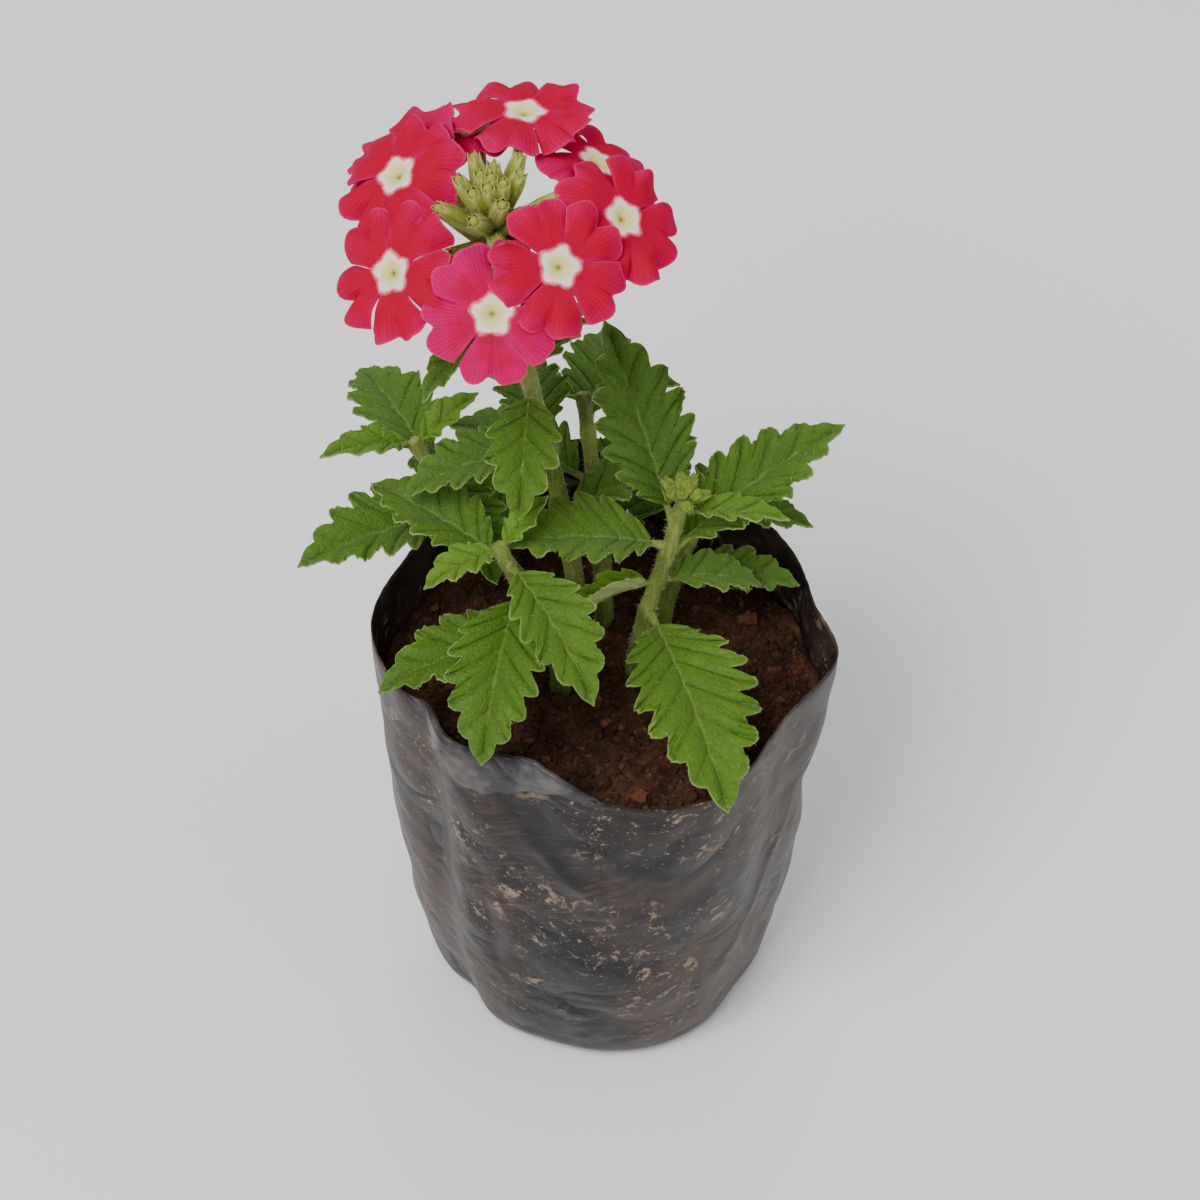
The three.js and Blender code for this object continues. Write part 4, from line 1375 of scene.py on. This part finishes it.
def soil_block():
    """The soil up to its rough top, clear of the film, with the room for crumbs on it."""
    angles = ring_angles(SOIL_COLUMNS)

    def edge(angle, height):
        return film_radius(angle, height) - FILM_THICKNESS / 2 - SOIL_CLEARANCE

    floor = FILM_THICKNESS + SOIL_CLEARANCE
    rings = [[polar(edge(a, floor) * share, a, floor) for a in angles] for share in (0.5, 1.0)]
    for step in range(1, SOIL_SIDE_ROWS + 1):
        height = floor + (SOIL_HEIGHT - SOIL_SIDE_DROP - floor) * step / SOIL_SIDE_ROWS
        rings.append([polar(edge(a, height), a, height) for a in angles])
    rims = [edge(a, SOIL_HEIGHT - SOIL_RIM_DROP) for a in angles]
    roots = [Vector(stem.root) for stem in STEMS.values()]
    room = [0.0] * (1 + len(rings) * SOIL_COLUMNS)
    for ring in range(SOIL_RINGS):
        share = 1 - ring / SOIL_RINGS
        row = []
        for angle, rim in zip(angles, rims):
            place = Vector(polar(rim * share, angle, 0.0)).to_2d()
            row.append((*place, soil_top(*place, share)))
            from_stems = min((place - root).length for root in roots) - ROOM_AT_STEMS
            room.append(min(rim * (1 - share), from_stems))
        rings.append(row)
    mesh = ring_mesh("soil_block", rings, (0, 0, floor), (0, 0, soil_top(0, 0, 0)))
    add_attribute(mesh, "room", "FLOAT", [*room, ROOM_AT_STEMS])
    return mesh


def stem_holes():
    """Rods where the stems stand, a little wider than they are."""
    rods = []
    for stem in STEMS.values():
        low = Vector((*stem.root, SOIL_HEIGHT - ROOT_DEPTH - GAP))
        high = Vector((*stem.root, SOIL_HEIGHT + HOLE_RISE))
        radii = [STEM_ROOT_RADIUS * HOLE_SHARE] * 2
        rods.append(rod([low, high], radii, None, sides=HOLE_SIDES, ridge=0.0))
    return joined("stem_holes", rods)


def drilled(mesh, cutter):
    """The mesh less the cutter, which is removed."""
    carrier = new_object("drilled", mesh)
    cut = carrier.modifiers.new("holes", "BOOLEAN")
    cut.operation = "DIFFERENCE"
    cut.solver = "EXACT"
    cut.object = cutter
    made = plain_mesh(carrier)
    bpy.data.objects.remove(cutter)
    return made


def soil_bed():
    """The soil with its holes, and the crumbs on its top."""
    block = drilled(soil_block(), stem_holes())
    block.materials.clear()
    block.materials.append(SOIL_FINISH)
    tree = crumb_tree()
    lumps = [grow(tree, block, material=SOIL_FINISH, **layer) for layer in CRUMBS]
    return joined("soil_bed", [block, *lumps])


# ------------------------------------------------------------------ the plant

ROD = rod_tree()
LEAF = leaf_tree()
CALYX = calyx_tree()
CLUSTER = cluster_tree()
LIMB = limb_tree()
HAIR = hair_tree()


def rod(path, radii, material, sides=STEM_SIDES, ridge=STEM_RIDGE):
    """A closed rod through these points, with a radius at each."""
    line = mesh_of("rod_line", path, edges=[(i, i + 1) for i in range(len(path) - 1)])
    add_attribute(line, "radius", "FLOAT", radii)
    return grow(ROD, line, material=material, sides=sides, ridge=ridge)


def stem_point(stem, share):
    """A point of the stem's curve, from 0 at the soil to 1 at its tip."""
    a, b = Vector((*stem.root, SOIL_HEIGHT)), Vector(stem.bend)
    c, d = Vector(stem.lean), Vector(stem.tip)
    left = 1 - share
    return a * left**3 + b * 3 * left**2 * share + c * 3 * left * share**2 + d * share**3


def stem_rod(stem):
    """The root in its hole and the stem, swollen at each pair of leaves."""
    path = [Vector((*stem.root, SOIL_HEIGHT - ROOT_DEPTH)), stem_point(stem, 0.0)]
    radii = [ROOT_TIP_RADIUS, STEM_ROOT_RADIUS]
    length = (Vector(stem.tip) - path[1]).length
    for step in range(1, STEM_STEPS + 1):
        share = step / STEM_STEPS
        radius = STEM_ROOT_RADIUS + (STEM_TIP_RADIUS - STEM_ROOT_RADIUS) * share
        near = [(share - leaf.share) * length / NODE_LENGTH for leaf in stem.leaves]
        swelling = max(math.exp(-distance * distance) for distance in near)
        path.append(stem_point(stem, share))
        radii.append(radius * (1 + NODE_SWELLING * swelling))
    return rod(path, radii, STEM_SKIN)


def grown_leaf(stem, leaf, seed):
    """A leaf in its place on the stem."""
    curled = leaf is CURLED_LEAF
    mesh = grow(
        LEAF, length=leaf.length, width=leaf.width, teeth=leaf.teeth,
        pitch=math.radians(leaf.pitch), droop=math.radians(leaf.droop),
        roll=math.radians(leaf.roll), fold=CURLED_FOLD if curled else LEAF_FOLD,
        tone=CURLED_TONE if curled else leaf.tone, seed=seed, upper_side=LEAF_UPPER,
        lower_side=LEAF_LOWER, rib=STEM_SKIN
    )
    turn = Matrix.Rotation(math.radians(leaf.azimuth), 4, "Z")
    mesh.transform(Matrix.Translation(stem_point(stem, leaf.share)) @ turn)
    return mesh


def side_axes(axis, near=(1, 0, 0)):
    """Two directions square to an axis, the first as near as can be to the one given."""
    near = Vector(near)
    first = (near - axis * near.dot(axis)).normalized()
    return first, axis.cross(first)


def around_axis(axis, tilt, turn):
    """The direction that is tilted from an axis and turned round it."""
    first, second = side_axes(axis)
    side = first * math.cos(turn) + second * math.sin(turn)
    return axis * math.cos(tilt) + side * math.sin(tilt)


Bud = namedtuple("Bud", "start along length")


def head_axis(stem):
    return Vector(stem.head.axis).normalized()


def head_buds(stem):
    """The closed calyces or buds round the rachis, each a golden angle on from the last."""
    head, axis = stem.head, head_axis(stem)
    buds = []
    for i in range(head.buds):
        share = i / (head.buds - 1)
        height = head.rachis * (LOWEST_BUD + BUD_SPAN * share)
        tilt = math.radians(head.spread * (1 - share) + TOP_BUD_TILT)
        along = around_axis(axis, tilt, GOLDEN_ANGLE * i)
        length = head.bud_length * (1 - BUD_SHORTENING * share)
        buds.append(Bud(Vector(stem.tip) + axis * height, along, length))
    return buds


OpenFloret = namedtuple("OpenFloret", "calyx mouth centre face spin tone")


def open_florets(stem):
    """Each open floret's calyx and the place and face of its limb."""
    axis = head_axis(stem)
    start = Vector(stem.tip) + axis * RACHIS_SINK
    florets = []
    for f in OPEN_FLORETS:
        reach = math.hypot(f.out, f.height)
        along = around_axis(axis, math.atan2(f.out, f.height), math.radians(f.azimuth))
        calyx = Bud(start, along, CALYX_SHARE * reach)
        mouth, centre = start + along * calyx.length, start + along * reach
        face = around_axis(axis, math.radians(f.face_tilt), math.radians(f.face_azimuth))
        florets.append(OpenFloret(calyx, mouth, centre, face, math.radians(f.spin), f.tone))
    return florets


def calyx_cluster(buds, **shape):
    """One calyx for each bud, from a template of the first one's length."""
    length = buds[0].length
    template = new_object("calyx", grow(CALYX, length=length, material=CALYX_SKIN, **shape))
    points = mesh_of("calyx_points", [bud.start for bud in buds])
    add_attribute(points, "direction", "FLOAT_VECTOR", [bud.along for bud in buds])
    add_attribute(points, "stretch", "FLOAT", [bud.length / length for bud in buds])
    made = grow(CLUSTER, points, template=template, material=CALYX_SKIN)
    bpy.data.objects.remove(template)
    return made


def flower_head(stem):
    """The rachis with its calyces."""
    head = stem.head
    path = [Vector(stem.tip), Vector(stem.tip) + head_axis(stem) * head.rachis]
    meshes = [rod(path, [STEM_TIP_RADIUS, RACHIS_TOP_RADIUS], STEM_SKIN)]
    shape = BUD_IN_HEAD if head.open else GREEN_BUD
    meshes.append(calyx_cluster(head_buds(stem), radius=head.bud_radius, **shape))
    if head.open:
        calyces = [floret.calyx for floret in open_florets(stem)]
        meshes.append(calyx_cluster(calyces, radius=CALYX_RADIUS, **OPEN_CALYX))
    return meshes


def leafy_stem(name, stem, first_seed):
    meshes = [stem_rod(stem)]
    meshes += [grown_leaf(stem, leaf, first_seed + i) for i, leaf in enumerate(stem.leaves)]
    if stem.head:
        meshes += flower_head(stem)
    made = joined(name, meshes)
    made.data.set_sharp_from_angle(angle=LEAF_CREASE)
    return made


def corolla(floret, seed, neighbour, bend):
    """A floret's tube and its limb, turned to face outwards."""
    face, along = floret.face, floret.calyx.along
    turned = Matrix((*side_axes(face, near=(0, 0, 1)), face)).transposed().to_4x4()
    placed = Matrix.Translation(floret.centre) @ turned @ Matrix.Rotation(floret.spin, 4, "Z")
    towards = placed.inverted() @ neighbour.centre
    limb = grow(
        LIMB, tone=floret.tone, seed=seed, bend=bend, bend_towards=math.atan2(towards.y, towards.x),
        upper_side=PETAL_UPPER, lower_side=PETAL_LOWER
    )
    limb.transform(placed)
    foot = floret.mouth + along * (GAP - TUBE_DEPTH)
    throat = floret.centre - face * (THROAT_DEPTH + TUBE_SHORT)
    turn = throat - face * TUBE_BEND
    middle = (foot + turn) / 2 + along * TUBE_ARCH
    radii = [TUBE_FOOT_RADIUS, TUBE_FOOT_RADIUS, TUBE_RADIUS, TUBE_MOUTH_RADIUS]
    tube = rod([foot, middle, turn, throat], radii, TUBE_SKIN, sides=TUBE_SIDES, ridge=0.0)
    return [limb, tube]


def corollas(stem):
    """All the open corollas of a stem's head as one piece."""
    meshes = []
    florets = open_florets(stem)
    for i, floret in enumerate(florets):
        neighbour, bend = PETALS_BENT.get(i, (0, 0.0))
        meshes += corolla(floret, FIRST_PETAL_SEED + i, florets[neighbour], bend)
    made = joined("flower_corollas", meshes)
    made.data.set_sharp_from_angle(angle=PETAL_CREASE)
    return made


# ------------------------------------------------------------------ the scene


def dress():
    """Builds every piece, puts it on the body it rides on, and hides the nodes of the part that it
    stands for.
    """
    pieces = [
        (film_bag(), "grow_bag", "black_film"),
        (soil_bed(), "soil", "potting_soil"),
    ]
    hairs = []
    for number, (name, stem) in enumerate(STEMS.items()):
        made = leafy_stem(name.replace("leafy_stem", "stem"), stem, 10 * number)
        hairs.append(grow(HAIR, made.data, seed=number, material=HAIR_FINISH))
        pieces.append((made, name, "leaf_green"))
    head = corollas(STEMS["leafy_stem_flowering"])
    pieces.append((head, "flower_head_corollas", "petal_red"))
    for piece, node, slot in pieces:
        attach(piece, "root")
        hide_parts(node)
    fuzz = joined("stem_hairs", hairs)
    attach(fuzz, "root")


CAMERA_AIM = Vector((0.0, 0.0, 0.098))
CAMERA_PLACE_AIM = Vector((-0.004, 0.0, 0.131))  # what the camera's distance is measured from
CAMERA_DISTANCE = 0.65
CAMERA_AZIMUTH = math.radians(-6)
CAMERA_ELEVATION = math.radians(45)
CAMERA_LENS = 110
LIGHT_AIM = Vector((0, 0, 0.1))
# The lights, each with its place, its width and its power.
LIGHTS = {
    "key": ((-0.7, -0.8, 1.6), 0.9, 30),
    "fill": ((1.2, -0.6, 0.9), 1.2, 4),
    "back": ((0.2, 1.2, 1.1), 1.0, 5),
}
SKY_COLOUR = (0.93, 0.96, 1.0, 1)
SKY_STRENGTH = 0.55
FLOOR_REACH = 3.0
FLOOR_LEVEL = -0.0002


def aimed(name, data, place, target):
    """A camera or a light at a place, turned to look at a target."""
    made = new_object(name, data)
    made.location = place
    made.rotation_euler = (target - made.location).to_track_quat("-Z", "Y").to_euler()
    return made


def set_camera():
    data = bpy.data.cameras.new("camera")
    data.lens = CAMERA_LENS
    level = CAMERA_DISTANCE * math.cos(CAMERA_ELEVATION)
    back = polar(level, CAMERA_AZIMUTH - math.pi / 2, CAMERA_DISTANCE * math.sin(CAMERA_ELEVATION))
    place = CAMERA_PLACE_AIM + Vector(back)
    bpy.context.scene.camera = aimed("camera", data, place, CAMERA_AIM)


def set_studio():
    """The lights, the sky and the floor."""
    for name, (place, width, power) in LIGHTS.items():
        light = bpy.data.lights.new(name, "AREA")
        light.size = width
        light.energy = power
        aimed(name, light, place, LIGHT_AIM)
    world = bpy.data.worlds.new("studio")
    world.use_nodes = True
    sky = world.node_tree.nodes["Background"].inputs
    sky["Color"].default_value = SKY_COLOUR
    sky["Strength"].default_value = SKY_STRENGTH
    bpy.context.scene.world = world
    around = [(-1, -1), (1, -1), (1, 1), (-1, 1)]
    corners = [(x * FLOOR_REACH, y * FLOOR_REACH, FLOOR_LEVEL) for x, y in around]
    mesh = mesh_of("floor", corners, faces=[(0, 1, 2, 3)])
    mesh.materials.append(FLOOR_FINISH)
    new_object("floor", mesh)


set_camera()
set_studio()
dress()
